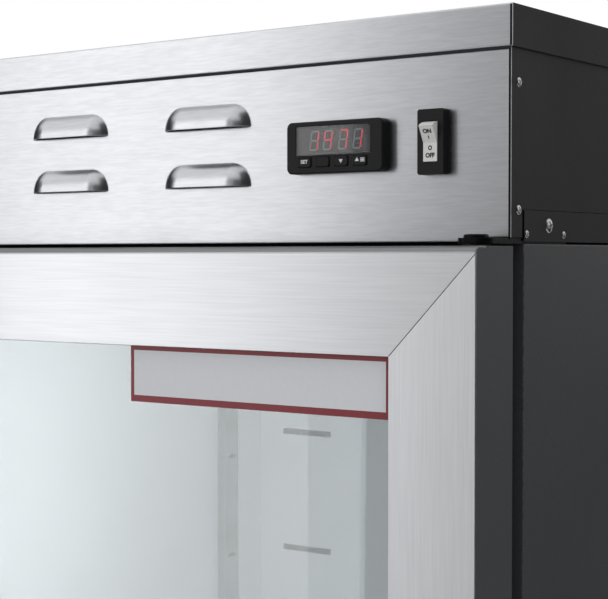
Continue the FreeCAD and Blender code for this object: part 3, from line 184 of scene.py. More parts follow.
# light
softboxes = {
    "keyLeft": {"place": (-2.234, -2.737, 2.0), "aim": (-0.034, -0.137, 1.7), "size": (1.3, 3.0),
                "power": 21.2, "inMetal": True},
    "topFill": {"place": (0.4, -0.8, 4.6), "aim": (0.2, 0.2, 1.2), "size": (2.4, 2.4),
                "power": 26, "inMetal": False},
    "rightFill": {"place": (1.15, -0.9, 2.75), "aim": (0.3, 0, 1.6), "size": (1.0, 1.0),
                  "power": 2.6, "inMetal": False},
    "cavityFill": {"place": (0.0, -0.15, 1.58), "aim": (-0.25, -0.18, 1.57), "size": (0.16, 0.2),
                   "power": 0.33, "inMetal": False},
}
flags = {  # dark cards that only metal and glass see
    "keyBack": {"place": (-2.304, -2.827, 2.0), "aim": (-0.034, -0.137, 1.7), "size": (1.3, 3.0),
                "grey": 0.02},
    "flagLeft": {"place": (-0.62, -2.0, 1.7), "aim": (0.28, -0.25, 1.7), "size": (0.66, 2.6), "grey": 0.40},
    "flagLow": {"place": (-0.6, -1.96, 1.25), "aim": (0.28, -0.25, 1.25), "size": (0.74, 1.3), "grey": 0.25},
    "flagSideLeft": {"place": (-3.0, -1.35, 1.9), "aim": (0, -0.2, 1.8), "size": (1.5, 3.0), "grey": 0.02},
    "flagFarLeft": {"place": (-3.4, 0.4, 1.9), "aim": (0, -0.2, 1.8), "size": (3.0, 3.0), "grey": 0.05},
    "flagFront": {"place": (0.55, -3.0, 1.7), "aim": (0.2, -0.2, 1.7), "size": (1.7, 3.4), "grey": 0.12},
    "flagFrontRight": {"place": (2.2, -2.6, 1.7), "aim": (0.2, -0.2, 1.7), "size": (2.2, 3.4), "grey": 0.05},
    "flagRight": {"place": (3.4, -0.4, 1.7), "aim": (0.3, 0, 1.7), "size": (3.8, 3.4), "grey": 0.05},
    "flagAboveRight": {"place": (2.0, -1.7, 3.9), "aim": (0, -0.2, 1.8), "size": (2.8, 2.6), "grey": 0.06},
    "flagBackRight": {"place": (2.2, 2.6, 0.85), "aim": (0.3, 0, 0.85), "size": (3.4, 1.9), "grey": 0.05},
}


def turnTo(place, aim):
    return (Vector(place) - Vector(aim)).to_track_quat("Z", "Y").to_euler()


for name, look in softboxes.items():
    bpy.ops.object.light_add(type="AREA", location=look["place"], rotation=turnTo(look["place"], look["aim"]))
    lamp = bpy.context.object
    lamp.name = name
    lamp.data.shape = "RECTANGLE"
    lamp.data.size, lamp.data.size_y = look["size"]
    lamp.data.energy = look["power"]
    lamp.visible_camera = False
    lamp.visible_glossy = look["inMetal"]
    lamp.visible_transmission = look["inMetal"]

print("softboxes hung")


# node groups, each built once
def startGroup(name, wanted, given):
    group = bpy.data.node_groups.new(name, "ShaderNodeTree")
    for label, kind, value in wanted:
        made = group.interface.new_socket(name=label, in_out="INPUT", socket_type=kind)
        if value is not None:
            made.default_value = value
    for label, kind in given:
        group.interface.new_socket(name=label, in_out="OUTPUT", socket_type=kind)
    return group, group.nodes.new("NodeGroupInput"), group.nodes.new("NodeGroupOutput")


def feed(node, place, value):  # links a socket, or sets a plain value
    if isinstance(value, bpy.types.NodeSocket):
        node.id_data.links.new(value, node.inputs[place])
    else:
        node.inputs[place].default_value = value


def maths(operation, *values):  # at least one value is a socket
    tree = next(value.id_data for value in values if isinstance(value, bpy.types.NodeSocket))
    node = tree.nodes.new("ShaderNodeMath")
    node.operation = operation
    for place, value in enumerate(values):
        feed(node, place, value)
    return node.outputs[0]


def spread(value, low, high, toLow=0.0, toHigh=1.0):
    node = value.id_data.nodes.new("ShaderNodeMapRange")
    for place, number in (("Value", value), ("From Min", low), ("From Max", high), ("To Min", toLow),
                          ("To Max", toHigh)):
        feed(node, place, number)
    return node.outputs["Result"]


def noise(vector, scale, detail=2.0, roughness=0.5):
    node = vector.id_data.nodes.new("ShaderNodeTexNoise")
    for place, value in (("Vector", vector), ("Scale", scale), ("Detail", detail), ("Roughness", roughness)):
        feed(node, place, value)
    return node.outputs["Fac"]


def makeEdgeWear():  # rounded normals at edges, and a broken mask along them
    group, start, end = startGroup(
        "edgeWear",
        [("Vector", "NodeSocketVector", None), ("Width", "NodeSocketFloat", 0.0006),
         ("Chips", "NodeSocketFloat", 220.0)],
        [("Mask", "NodeSocketFloat"), ("Normal", "NodeSocketVector")])
    rounded = group.nodes.new("ShaderNodeBevel")
    rounded.samples = 6
    feed(rounded, "Radius", start.outputs["Width"])
    surface = group.nodes.new("ShaderNodeNewGeometry")
    together = group.nodes.new("ShaderNodeVectorMath")
    together.operation = "DOT_PRODUCT"
    feed(together, 0, rounded.outputs["Normal"])
    feed(together, 1, surface.outputs["Normal"])
    edge = spread(together.outputs["Value"], 0.995, 0.85)
    broken = spread(noise(start.outputs["Vector"], start.outputs["Chips"], 3.0), 0.42, 0.62)
    feed(end, "Mask", maths("MULTIPLY", edge, broken))
    feed(end, "Normal", rounded.outputs["Normal"])
    return group


def makeBrushing():  # streaks that run along the mapped vector's first axis
    group, start, end = startGroup(
        "brushing",
        [("Vector", "NodeSocketVector", None), ("Fine", "NodeSocketFloat", 900.0),
         ("Broad", "NodeSocketFloat", 130.0)],
        [("Height", "NodeSocketFloat"), ("Tone", "NodeSocketFloat")])
    fine = noise(start.outputs["Vector"], start.outputs["Fine"], 1.0, 0.5)
    broad = noise(start.outputs["Vector"], start.outputs["Broad"], 1.0)
    for label, fineShare, broadShare in (("Height", 0.92, 0.08), ("Tone", 0.7, 0.3)):
        mixed = maths("ADD", maths("MULTIPLY", fine, fineShare), maths("MULTIPLY", broad, broadShare))
        feed(end, label, mixed)
    return group


def makeHandling():  # faint smears of use, and dust on what faces up
    group, start, end = startGroup(
        "handling",
        [("Vector", "NodeSocketVector", None), ("Smears", "NodeSocketFloat", 7.0)],
        [("Smear", "NodeSocketFloat"), ("Dust", "NodeSocketFloat")])
    feed(end, "Smear", spread(noise(start.outputs["Vector"], start.outputs["Smears"], 4.0, 0.6), 0.4, 0.72))
    surface = group.nodes.new("ShaderNodeNewGeometry")
    split = group.nodes.new("ShaderNodeSeparateXYZ")
    feed(split, 0, surface.outputs["Normal"])
    specks = spread(noise(start.outputs["Vector"], 170.0, 5.0, 0.6), 0.3, 0.9)
    feed(end, "Dust", maths("MULTIPLY", spread(split.outputs["Z"], 0.6, 1.0), specks))
    return group


def makeSkin():  # orange peel, moulding texture and cast pits
    group, start, end = startGroup(
        "skin",
        [("Vector", "NodeSocketVector", None), ("Fine", "NodeSocketFloat", 900.0),
         ("Broad", "NodeSocketFloat", 9.0)],
        [("Height", "NodeSocketFloat"), ("Tone", "NodeSocketFloat")])
    pebbles = group.nodes.new("ShaderNodeTexVoronoi")
    pebbles.feature = "SMOOTH_F1"
    feed(pebbles, "Vector", start.outputs["Vector"])
    feed(pebbles, "Scale", start.outputs["Fine"])
    fine = noise(start.outputs["Vector"], start.outputs["Fine"], 2.0)
    feed(end, "Height", maths("ADD", maths("MULTIPLY", pebbles.outputs["Distance"], 0.6),
                              maths("MULTIPLY", fine, 0.6)))
    feed(end, "Tone", noise(start.outputs["Vector"], start.outputs["Broad"], 3.0))
    return group


edgeWear, brushing, handling, skin = makeEdgeWear(), makeBrushing(), makeHandling(), makeSkin()
print("shared effects built")

# surroundings: white for the eye, metal and glass, a soft grey for everything else
studio = {"fillLevel": 0.62}
world = bpy.data.worlds.new("studio")
bpy.context.scene.world = world
world.use_nodes = True
sky = world.node_tree
sky.nodes.clear()
skyOut = sky.nodes.new("ShaderNodeOutputWorld")
backdrop = sky.nodes.new("ShaderNodeBackground")
rays = sky.nodes.new("ShaderNodeLightPath").outputs
sharp = maths("MAXIMUM", rays["Is Camera Ray"], rays["Is Glossy Ray"])
sharp = maths("MAXIMUM", sharp, rays["Is Transmission Ray"])
feed(backdrop, "Color", (1, 1, 1, 1))
feed(backdrop, "Strength", spread(sharp, 0.0, 1.0, studio["fillLevel"], 1.0))
feed(skyOut, "Surface", backdrop.outputs[0])
print("studio lit")


# finishes
def startFinish(name):
    finish = bpy.data.materials.new(name)
    finish.use_nodes = True
    tree = finish.node_tree
    tree.nodes.clear()
    out = tree.nodes.new("ShaderNodeOutputMaterial")
    shader = tree.nodes.new("ShaderNodeBsdfPrincipled")
    feed(out, "Surface", shader.outputs["BSDF"])
    return finish, tree, shader


def placed(tree, stretch=(1, 1, 1)):
    where = tree.nodes.new("ShaderNodeTexCoord")
    mapping = tree.nodes.new("ShaderNodeMapping")
    feed(mapping, "Scale", stretch)
    feed(mapping, "Vector", where.outputs["Object"])
    return mapping.outputs["Vector"]


def effect(group, vector, **values):
    node = vector.id_data.nodes.new("ShaderNodeGroup")
    node.node_tree = group
    feed(node, "Vector", vector)
    for label, value in values.items():
        feed(node, label, value)
    return node


def blendColour(share, first, second):
    node = share.id_data.nodes.new("ShaderNodeMix")
    node.data_type = "RGBA"
    for place, value in ((0, share), (6, first), (7, second)):
        feed(node, place, value)
    return node.outputs[2]


def bump(shader, height, depth, normal):
    node = shader.id_data.nodes.new("ShaderNodeBump")
    for place, value in (("Distance", depth), ("Strength", 1.0), ("Height", height), ("Normal", normal)):
        feed(node, place, value)
    feed(shader, "Normal", node.outputs["Normal"])


def shade(value, factor):
    return tuple(min(1.0, part * factor) for part in value[:3]) + (1.0,)


def around(value, swing):  # a darker and a lighter shade of one colour
    return shade(value, 1 - swing), shade(value, 1 + swing)


def facingOf(tree):  # the way a face looks in the piece's own directions, so that it rides with its body
    surface = tree.nodes.new("ShaderNodeNewGeometry")
    ownNormal = tree.nodes.new("ShaderNodeVectorTransform")
    ownNormal.vector_type = "NORMAL"
    ownNormal.convert_from = "WORLD"
    ownNormal.convert_to = "OBJECT"
    parts = tree.nodes.new("ShaderNodeSeparateXYZ")
    feed(ownNormal, 0, surface.outputs["Normal"])
    feed(parts, 0, ownNormal.outputs[0])
    return parts.outputs


paintedShadeFactor, rubbedShade = 0.2, 1.25  # how dark the painted shade on steel goes where a face turns up or aside, and how bright where hands rub an edge


def makeBrushed(name, look):
    finish, tree, shader = startFinish(name)
    plain = placed(tree)
    lines = placed(tree, look["stretch"])
    streaks = effect(brushing, lines, Fine=look["fine"], Broad=look["broad"])
    use = effect(handling, plain, Smears=look["smears"])
    edges = effect(edgeWear, plain, Width=look["edge"], Chips=160.0)
    facing = facingOf(tree)
    # painted shade: steel that faces up, left or right is darkened, standing in for the dark surroundings it
    # reflects
    start, full, depth = look["fold"]
    fold = spread(facing["Z"], start, full, 0.0, depth)
    for way, label in ((1, "rightEnd"), (-1, "leftEnd")):
        start, full, depth = look[label]
        fold = maths("MAXIMUM", fold, spread(maths("MULTIPLY", facing["X"], way), start, full, 0.0, depth))
    tone = streaks.outputs["Tone"]
    grain = blendColour(spread(tone, 0.36, 0.64), *around(look["colour"], look["contrast"]))
    grainAndPaintedShade = blendColour(fold, grain, shade(look["colour"], paintedShadeFactor))
    rubbed = maths("MULTIPLY", edges.outputs["Mask"], maths("SUBTRACT", 1.0, fold))
    worn = blendColour(rubbed, grainAndPaintedShade, shade(look["colour"], rubbedShade))
    dust = maths("MULTIPLY", use.outputs["Dust"], look["dust"])
    feed(shader, "Base Color", blendColour(dust, worn, colour(196, 194, 190)))
    rough = maths("ADD", spread(tone, 0.3, 0.7, look["rough"] + 0.006, look["rough"] - 0.006),
                  maths("MULTIPLY", use.outputs["Smear"], look["smearRough"]))
    feed(shader, "Roughness", maths("ADD", rough, maths("MULTIPLY", use.outputs["Dust"], 0.25)))
    feed(shader, "Metallic", maths("SUBTRACT", 1.0, dust))
    bump(shader, streaks.outputs["Height"], look["depth"], edges.outputs["Normal"])
    return finish


def makeCoated(name, look):  # paint, moulded plastic, rubber and nylon
    finish, tree, shader = startFinish(name)
    plain = placed(tree)
    texture = effect(skin, plain, Fine=look["fine"], Broad=look["broad"])
    use = effect(handling, plain, Smears=look["smears"])
    edges = effect(edgeWear, plain, Width=look["edge"], Chips=260.0)
    body = blendColour(spread(texture.outputs["Tone"], 0.35, 0.65), *around(look["colour"], 0.07))
    pits = blendColour(spread(texture.outputs["Height"], 0.3, 0.8), shade(look["colour"], 0.8), body)
    worn = blendColour(maths("MULTIPLY", edges.outputs["Mask"], look["wear"]), pits, look["bare"])
    dust = maths("MULTIPLY", use.outputs["Dust"], look["dust"])
    feed(shader, "Base Color", blendColour(dust, worn, colour(170, 167, 160)))
    rough = spread(texture.outputs["Tone"], 0.3, 0.7, look["rough"] - 0.03, look["rough"] + 0.03)
    smeared = maths("ADD", rough, maths("MULTIPLY", use.outputs["Smear"], look["smearRough"]))
    feed(shader, "Roughness", smeared)
    feed(shader, "Specular IOR Level", look["gloss"])
    bump(shader, texture.outputs["Height"], look["depth"], edges.outputs["Normal"])
    return finish


def makePlated(name, look):  # zinc spangle and chrome plate
    finish, tree, shader = startFinish(name)
    plain = placed(tree)
    crystals = tree.nodes.new("ShaderNodeTexVoronoi")
    feed(crystals, "Scale", look["crystals"])
    feed(crystals, "Vector", plain)
    split = tree.nodes.new("ShaderNodeSeparateColor")
    feed(split, 0, crystals.outputs["Color"])
    texture = effect(skin, plain, Fine=look["fine"], Broad=14.0)
    edges = effect(edgeWear, plain, Width=look["edge"], Chips=180.0)
    use = effect(handling, plain, Smears=look["smears"])
    spangle = blendColour(split.outputs[0], *around(look["colour"], look["contrast"]))
    dull = maths("MULTIPLY", use.outputs["Smear"], look["dull"])
    feed(shader, "Base Color", blendColour(dull, spangle, shade(look["colour"], 0.6)))
    feed(shader, "Metallic", 1.0)
    swing = look["contrast"] * 0.2
    rough = spread(split.outputs[1], 0.0, 1.0, look["rough"] - swing, look["rough"] + swing)
    smeared = maths("ADD", rough, maths("MULTIPLY", use.outputs["Smear"], look["dull"] * 0.3))
    feed(shader, "Roughness", smeared)
    bump(shader, texture.outputs["Height"], look["depth"], edges.outputs["Normal"])
    return finish


def makeClear(name, look):  # panes and lenses
    finish, tree, shader = startFinish(name)
    smear = effect(handling, placed(tree), Smears=look["smears"]).outputs["Smear"]
    feed(shader, "Base Color", blendColour(smear, look["colour"], shade(look["colour"], 0.985)))
    feed(shader, "Roughness", spread(smear, 0.0, 1.0, look["rough"], look["rough"] + look["smearRough"]))
    feed(shader, "Transmission Weight", 1.0)
    feed(shader, "IOR", look["ior"])
    return finish


def makeFilm(name, look):  # print, the display's filter and its lit strokes
    finish, tree, shader = startFinish(name)
    texture = effect(skin, placed(tree), Fine=look["fine"], Broad=look["broad"])
    film = blendColour(texture.outputs["Tone"], *look["shades"])
    feed(shader, "Base Color", film)
    feed(shader, "Roughness", spread(texture.outputs["Height"], 0.0, 1.0, *look["rough"]))
    if "glow" in look:
        feed(shader, "Emission Color", film)
        feed(shader, "Emission Strength", look["glow"])
    return finish


# stretch draws the grain out along X, Y and Z. The entries for faces turned up, left and right paint shade on
# them, standing in for dark surroundings seen in the steel: where the painted shade starts, where it is full,
# and how strong it is
slightPaintedShade = {"fold": (0.6, 0.95, 0.1), "leftEnd": (0.8, 0.95, 0.0), "rightEnd": (0.8, 0.95, 0.0)}
trimSteel = {"leftEnd": (0.8, 0.95, 0.9), "rightEnd": (0.8, 0.95, 0.9), "fine": 1000, "broad": 300,
             "contrast": 0.035, "rough": 0.36, "depth": 0.000002, "smears": 5, "smearRough": 0.03,
             "edge": 0.0006, "dust": 0.07}
brushedLooks = {
    "canopySteel": {"fold": (0.75, 0.97, 0.5), "leftEnd": (0.04, 0.38, 0.92), "rightEnd": (0.1, 0.8, 0.4),
                    "stretch": (0.08, 1, 1), "fine": 900, "broad": 230,
                    "colour": (0.597, 0.606, 0.63, 1), "contrast": 0.05, "rough": 0.28, "depth": 0.000002,
                    "smears": 6, "smearRough": 0.03, "edge": 0.0013, "dust": 0.09},
    # rails and stiles are one steel; the stiles' lighter colour is painted light, so they read brighter than
    # the rails
    "trimSteelAcross": {**trimSteel, "fold": (0.0, 0.35, 0.86), "stretch": (0.02, 1, 1),
                        "colour": (0.76, 0.77, 0.793, 1)},
    "trimSteelUp": {**trimSteel, "fold": (0.6, 0.95, 0.5), "stretch": (1, 1, 0.02),
                    "colour": (0.86, 0.87, 0.895, 1)},
    "handleSteel": {**slightPaintedShade, "stretch": (1, 1, 0.03), "fine": 1600, "broad": 500,
                    "colour": (0.62, 0.62, 0.63, 1), "contrast": 0.04, "rough": 0.27, "depth": 0.000006,
                    "smears": 20, "smearRough": 0.06, "edge": 0.0004, "dust": 0.03},
    "castAluminium": {**slightPaintedShade, "stretch": (1, 1, 0.2), "fine": 900, "broad": 200,
                      "colour": (0.66, 0.67, 0.68, 1), "contrast": 0.08, "rough": 0.38, "depth": 0.00002,
                      "smears": 30, "smearRough": 0.08, "edge": 0.0004, "dust": 0.14},
}
coat = {"depth": 0.00002, "smearRough": 0.08, "edge": 0.0006, "wear": 0.1, "dust": 0.03}
coatedLooks = {
    # the case paint's edge wear is set high: its lighter bare colour along the body's edges is partly worn
    # paint and partly a painted highlight
    "casePaint": {**coat, "fine": 620, "broad": 5, "colour": colour(58, 59, 61), "rough": 0.5,
                  "gloss": 0.26, "depth": 0.00004, "smears": 5, "smearRough": 0.06, "edge": 0.0014,
                  "wear": 0.75, "bare": colour(92, 93, 96), "dust": 0.1},
    # a darker copy of the case paint for the canopy's sides, tray and lid: painted shade, so they read darker
    # than the body
    "canopyPaint": {**coat, "fine": 620, "broad": 6, "colour": colour(39, 39, 41), "rough": 0.55,
                    "gloss": 0.1, "depth": 0.00004, "smears": 6, "smearRough": 0.06, "edge": 0.0005,
                    "wear": 0.45, "bare": colour(96, 96, 98), "dust": 0.1},
    "linerWhite": {**coat, "fine": 1700, "broad": 4, "colour": colour(238, 239, 240), "rough": 0.34,
                   "gloss": 0.45, "depth": 0.000008, "smears": 4, "wear": 0.15,
                   "bare": colour(190, 190, 188)},
    "breakerVinyl": {**coat, "fine": 900, "broad": 6, "colour": colour(228, 229, 231), "rough": 0.4,
                     "gloss": 0.4, "smears": 6, "wear": 0.15, "bare": colour(200, 200, 198)},
    "blackMoulding": {**coat, "fine": 1500, "broad": 22, "colour": colour(26, 26, 28), "rough": 0.42,
                      "gloss": 0.2, "smears": 16, "wear": 0.35, "bare": colour(66, 66, 68),
                      "dust": 0.07},
    "doorEdge": {**coat, "fine": 1500, "broad": 8, "colour": colour(63, 64, 68), "rough": 0.48,
                 "gloss": 0.26, "smears": 9, "wear": 0.3, "bare": colour(80, 80, 82), "dust": 0.09},
    "greyMoulding": {**coat, "fine": 1300, "broad": 12, "colour": colour(150, 151, 153),
                     "rough": 0.46, "gloss": 0.4, "smears": 9, "edge": 0.0005, "wear": 0.2,
                     "bare": colour(186, 186, 186), "dust": 0.07},
    "ivoryMoulding": {**coat, "fine": 1900, "broad": 30, "colour": colour(214, 214, 211),
                      "rough": 0.3, "gloss": 0.5, "depth": 0.000012, "smears": 40, "smearRough": 0.1,
                      "edge": 0.0004, "bare": colour(232, 232, 230)},
    # the gasket's grey is raised above the rubber's own to lift the shaded gap between door and case: painted
    # light
    "gasketRubber": {**coat, "fine": 1100, "broad": 16, "colour": colour(160, 161, 167),
                     "rough": 0.66, "gloss": 0.4, "depth": 0.00003, "smears": 14, "smearRough": 0.1,
                     "edge": 0.0005, "bare": colour(58, 58, 60), "dust": 0.12},
    "bushNylon": {**coat, "fine": 1400, "broad": 40, "colour": colour(62, 62, 62), "rough": 0.44,
                  "gloss": 0.3, "depth": 0.00001, "smears": 60, "edge": 0.0003,
                  "bare": colour(96, 96, 94)},
    "motorPaint": {**coat, "fine": 700, "broad": 18, "colour": colour(92, 93, 95), "rough": 0.44,
                   "gloss": 0.45, "depth": 0.00004, "smears": 20, "smearRough": 0.1, "wear": 0.5,
                   "bare": colour(150, 150, 150), "dust": 0.17},
    "hingeBlack": {**coat, "fine": 800, "broad": 30, "colour": colour(9, 9, 10), "rough": 0.36,
                   "gloss": 0.1, "depth": 0.00003, "smears": 26, "wear": 0.3,
                   "bare": colour(60, 60, 62), "dust": 0.02},
    # near-black paints for strips that paint the shadow in gaps and under the lid's lip
    "seamBlack": {**coat, "fine": 900, "broad": 20, "colour": colour(40, 44, 47), "rough": 0.5,
                  "gloss": 0.15, "smears": 12, "smearRough": 0.06, "edge": 0.0003,
                  "bare": colour(70, 72, 75), "dust": 0.02},
    "slitBlack": {**coat, "fine": 900, "broad": 20, "colour": colour(7, 7, 8), "rough": 0.6,
                  "gloss": 0.0, "smears": 12, "smearRough": 0.06, "edge": 0.0002, "wear": 0.02,
                  "bare": colour(30, 30, 32), "dust": 0.01},
    "foamYellow": {**coat, "fine": 520, "broad": 20, "colour": colour(232, 220, 178), "rough": 0.92,
                   "gloss": 0.1, "depth": 0.0004, "smears": 8, "smearRough": 0.03, "edge": 0.002,
                   "wear": 0.2, "bare": colour(214, 196, 148)},
}
platedLooks = {
    "zincPlate": {"crystals": 900, "fine": 900, "colour": (0.44, 0.445, 0.45, 1), "contrast": 0.08,
                  "rough": 0.2, "depth": 0.00001, "edge": 0.0003, "smears": 30, "dull": 0.3},
    "galvanisedSheet": {"crystals": 110, "fine": 500, "colour": (0.55, 0.565, 0.58, 1),
                        "contrast": 0.05, "rough": 0.42, "depth": 0.00001, "edge": 0.0005, "smears": 3,
                        "dull": 0.12},
    "chromeWire": {"crystals": 1500, "fine": 1200, "colour": (0.78, 0.785, 0.80, 1), "contrast": 0.02,
                   "rough": 0.09, "depth": 0.000004, "edge": 0.0002, "smears": 40, "dull": 0.1},
}
clearLooks = {
    "doorGlass": {"colour": (0.904, 0.938, 0.947, 1), "rough": 0.004, "smearRough": 0.012, "smears": 5,
                  "ior": 1.5},
    "displayLens": {"colour": (0.60, 0.60, 0.62, 1), "rough": 0.05, "smearRough": 0.04, "smears": 40,
                    "ior": 1.48},
}

display = {"fine": 2400, "broad": 120, "rough": (0.4, 0.6)}
ink = {"fine": 2200, "broad": 260, "rough": (0.44, 0.56)}
litRed = colour(226, 34, 46)
filmLooks = {
    "displayFace": {**display, "shades": (colour(34, 35, 38), colour(43, 44, 47))},
    "unlitStroke": {**display, "shades": (colour(126, 142, 136), colour(142, 158, 152))},
    "litStroke": {"fine": 1800, "broad": 700, "rough": (0.3, 0.5), "shades": (shade(litRed, 0.8), litRed),
                  "glow": 1.1},
    "legendInk": {**ink, "shades": around(colour(34, 34, 36), 0.12)},
    "keyInk": {**ink, "shades": around(colour(206, 206, 206), 0.12)},
    "plateRed": {**ink, "rough": (0.34, 0.46), "shades": around(colour(122, 30, 40), 0.12)},
    "plateSilver": {**ink, "rough": (0.32, 0.44), "shades": around(colour(198, 200, 204), 0.03)},
}

finishes = {}
for make, looks in ((makeBrushed, brushedLooks), (makeCoated, coatedLooks), (makePlated, platedLooks),
                    (makeClear, clearLooks), (makeFilm, filmLooks)):
    for name, look in looks.items():
        finishes[name] = make(name, look)
print("finishes mixed:", len(finishes))

# what each node wears: its slot's finish, or its own where the grain turns or the paint differs; the canopy's
# darker copy of the case paint is painted shade, and the stiles' lighter steel is painted light
finishOfSlot = {
    "case_paint": "casePaint", "grey_plastic": "greyMoulding", "black_plastic": "blackMoulding",
    "brushed_stainless": "canopySteel", "galvanised": "galvanisedSheet", "zinc": "zincPlate",
    "window_lens": "displayLens", "display": "displayFace", "rubber": "gasketRubber",
    "liner_white": "linerWhite", "aluminium": "castAluminium", "motor": "motorPaint", "foam": "foamYellow",
    "glass": "doorGlass", "hinge_black": "hingeBlack", "nylon": "bushNylon", "ivory_plastic": "ivoryMoulding",
    "chrome_wire": "chromeWire",
}
ownFinish = {
    "door_trim_top": "trimSteelAcross", "door_trim_bottom": "trimSteelAcross",
    "door_trim_left": "trimSteelUp", "door_trim_right": "trimSteelUp", "door_handle": "handleSteel",
    "breaker_frame": "breakerVinyl", "canopy_base_tray": "canopyPaint", "lid_panel": "canopyPaint",
    "canopy_side_left": "canopyPaint", "canopy_side_right": "canopyPaint", "door_frame": "doorEdge",
}
for name, node in nodes.items():
    finish = finishes[ownFinish.get(name, finishOfSlot[slotOf[name]])]
    if node.material_slots:
        node.material_slots[0].material = finish
    else:
        node.data.materials.append(finish)
for name in ("glass_outer_pane", "glass_inner_pane"):  # daylight passes straight through the panes
    nodes[name].visible_shadow = False
    nodes[name].visible_diffuse = False
print("nodes dressed:", len(nodes))

# side screws: low domed heads with a cross recess
screwLook = {"sides": 28, "rings": 14, "rise": 0.29, "slotLong": 0.6, "slotWide": 0.13, "slotDeep": 0.26,
             "round": 0.025, "shank": 0.5, "shankSides": 12, "proud": 0.0001, "firstTwist": 19,
             "nextTwist": 31}
screwRows = {
    "canopy_screws": {"head": 0.003, "reach": 0.002, "sides": (1, -1),
                      "places": [(-0.23815, 1.7754), (-0.23815, 1.85175),
                                 (0.31675, 1.7754), (0.31675, 1.85175)]},
    "tray_screws": {"head": 0.0046, "reach": 0.002, "sides": (1, -1),
                    "places": [(-0.19925, 1.7665), (0.28275, 1.7665)]},
    "hinge_screws": {"head": 0.0024, "reach": 0.004, "sides": (1,),
                     "places": [(-0.22775, 1.761), (-0.17925, 1.761)]},
}
halfWidth = 0.3


def modelScrew():  # one unit head that points along +X
    clearChoice()
    bpy.ops.mesh.primitive_uv_sphere_add(segments=screwLook["sides"], ring_count=screwLook["rings"],
                                         radius=1)
    head = bpy.context.object
    bpy.ops.object.mode_set(mode="EDIT")
    bpy.ops.mesh.select_all(action="SELECT")
    bpy.ops.mesh.bisect(plane_co=(0, 0, 0), plane_no=(0, 0, 1), clear_inner=True, use_fill=True)
    backToObject()
    head.scale = (1, 1, screwLook["rise"])
    fixPlace(head)
    long, wide = screwLook["slotLong"], screwLook["slotWide"]
    deep = screwLook["rise"] - screwLook["slotDeep"]
    cutAway(head, block((-long, -wide, deep), (long, wide, 1)))
    cutAway(head, block((-wide, -long, deep), (wide, long, 1)))
    softenEdges(head, screwLook["round"], 2, 30)
    head.data.transform(turned(90, "Y"))
    return head


unitHead = modelScrew()
for nodeName, row in screwRows.items():
    made = []
    for side in row["sides"]:
        for number, (y, z) in enumerate(row["places"]):
            turn = turned(0 if side > 0 else 180, "Z")
            angle = screwLook["firstTwist"] + screwLook["nextTwist"] * number
            twist = turned(angle, "X")
            place = Matrix.Translation((side * halfWidth, y, z))
            made.append(copyTo(unitHead, "head", place @ turn @ twist @ Matrix.Scale(row["head"], 4)))
            made.append(rod((side * (halfWidth - row["reach"]), y, z),
                            (side * (halfWidth + screwLook["proud"]), y, z),
                            row["head"] * screwLook["shank"], screwLook["shankSides"]))
    screws = joinAs(nodeName.replace("_s", "S"), made)
    smooth(screws, 35)
    give(screws, finishes["zincPlate"], "cabinet", "zinc", nodeName)
bpy.data.objects.remove(unitHead)
print("screws driven")

# canopy seams: a near-black strip under the lid's front lip that paints the shadow there, and laps behind the
# tray's side joints
trimLow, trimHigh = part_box("lid_front_trim")
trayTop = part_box("canopy_base_tray")[1].z
seamLook = {"hemTall": 0.0017, "hemInset": 0.0015, "hemBack": 0.0003, "hemRound": 0.0004, "lapTall": 0.008,
            "lapThick": 0.001, "lapRound": 0.0002, "sheet": 0.001, "lapY": (-0.231, 0.31)}
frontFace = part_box("canopy_side_right")[0].y - seamLook["sheet"]
lipShadowStrip = block((trimLow.x + seamLook["hemInset"], trimLow.y + seamLook["hemBack"], trimLow.z),
            (trimHigh.x - seamLook["hemInset"], frontFace, trimLow.z - seamLook["hemTall"]))
softenEdges(lipShadowStrip, seamLook["hemRound"], 3, 30)
give(lipShadowStrip, finishes["seamBlack"], "cabinet", "case_paint")
lipShadowStrip.name = "lidHem"
laps = []
for side in (-1, 1):
    outer = halfWidth - seamLook["sheet"]
    inner = outer - seamLook["lapThick"]
    laps.append(block((side * outer, seamLook["lapY"][0], trayTop - seamLook["lapTall"] / 2),
                      (side * inner, seamLook["lapY"][1], trayTop + seamLook["lapTall"] / 2)))
seamLaps = softenEdges(joinAs("seamLaps", laps), seamLook["lapRound"], 2, 30)
give(seamLaps, finishes["canopyPaint"], "cabinet", "case_paint")

# near-black strips that paint the shadow lines of gaps: down the canopy's and the lid's front corners, in the
# tray's side slits and along the mitres
shadowStripLook = {"wide": 0.0012, "proud": 0.00004, "deep": 0.0003, "inset": 0.0002, "canopyFace": -0.24825,
            "canopyFoot": 1.7575, "underLid": 0.0004, "overLip": 0.0004, "underTop": 0.0008,
            "slit": (-0.2336, -0.2311), "slitFoot": 1.7572, "slitDeep": 0.0006, "mitreWide": 0.0005}
cornerRows = (
    (halfWidth, shadowStripLook["canopyFace"], shadowStripLook["canopyFoot"], trimLow.z - shadowStripLook["underLid"]),
    (trimHigh.x, trimLow.y, trimLow.z + shadowStripLook["overLip"], trimHigh.z - shadowStripLook["underTop"]),
)
shadowStrips, slitBeads = [], []
for side in (-1, 1):
    for edge, face, low, high in cornerRows:
        outer = edge - shadowStripLook["inset"]
        shadowStrips.append(block((side * outer, face - shadowStripLook["proud"], low),
                           (side * (outer - shadowStripLook["wide"]), face + shadowStripLook["deep"], high)))
    outer, inner = halfWidth + shadowStripLook["proud"], halfWidth - shadowStripLook["slitDeep"]
    slitBeads.append(block((side * outer, shadowStripLook["slit"][0], shadowStripLook["slitFoot"]),
                           (side * inner, shadowStripLook["slit"][1], trayTop)))
give(joinAs("cornerBeads", shadowStrips), finishes["hingeBlack"], "cabinet", "case_paint")
give(joinAs("slitBeads", slitBeads), finishes["slitBlack"], "cabinet", "case_paint")
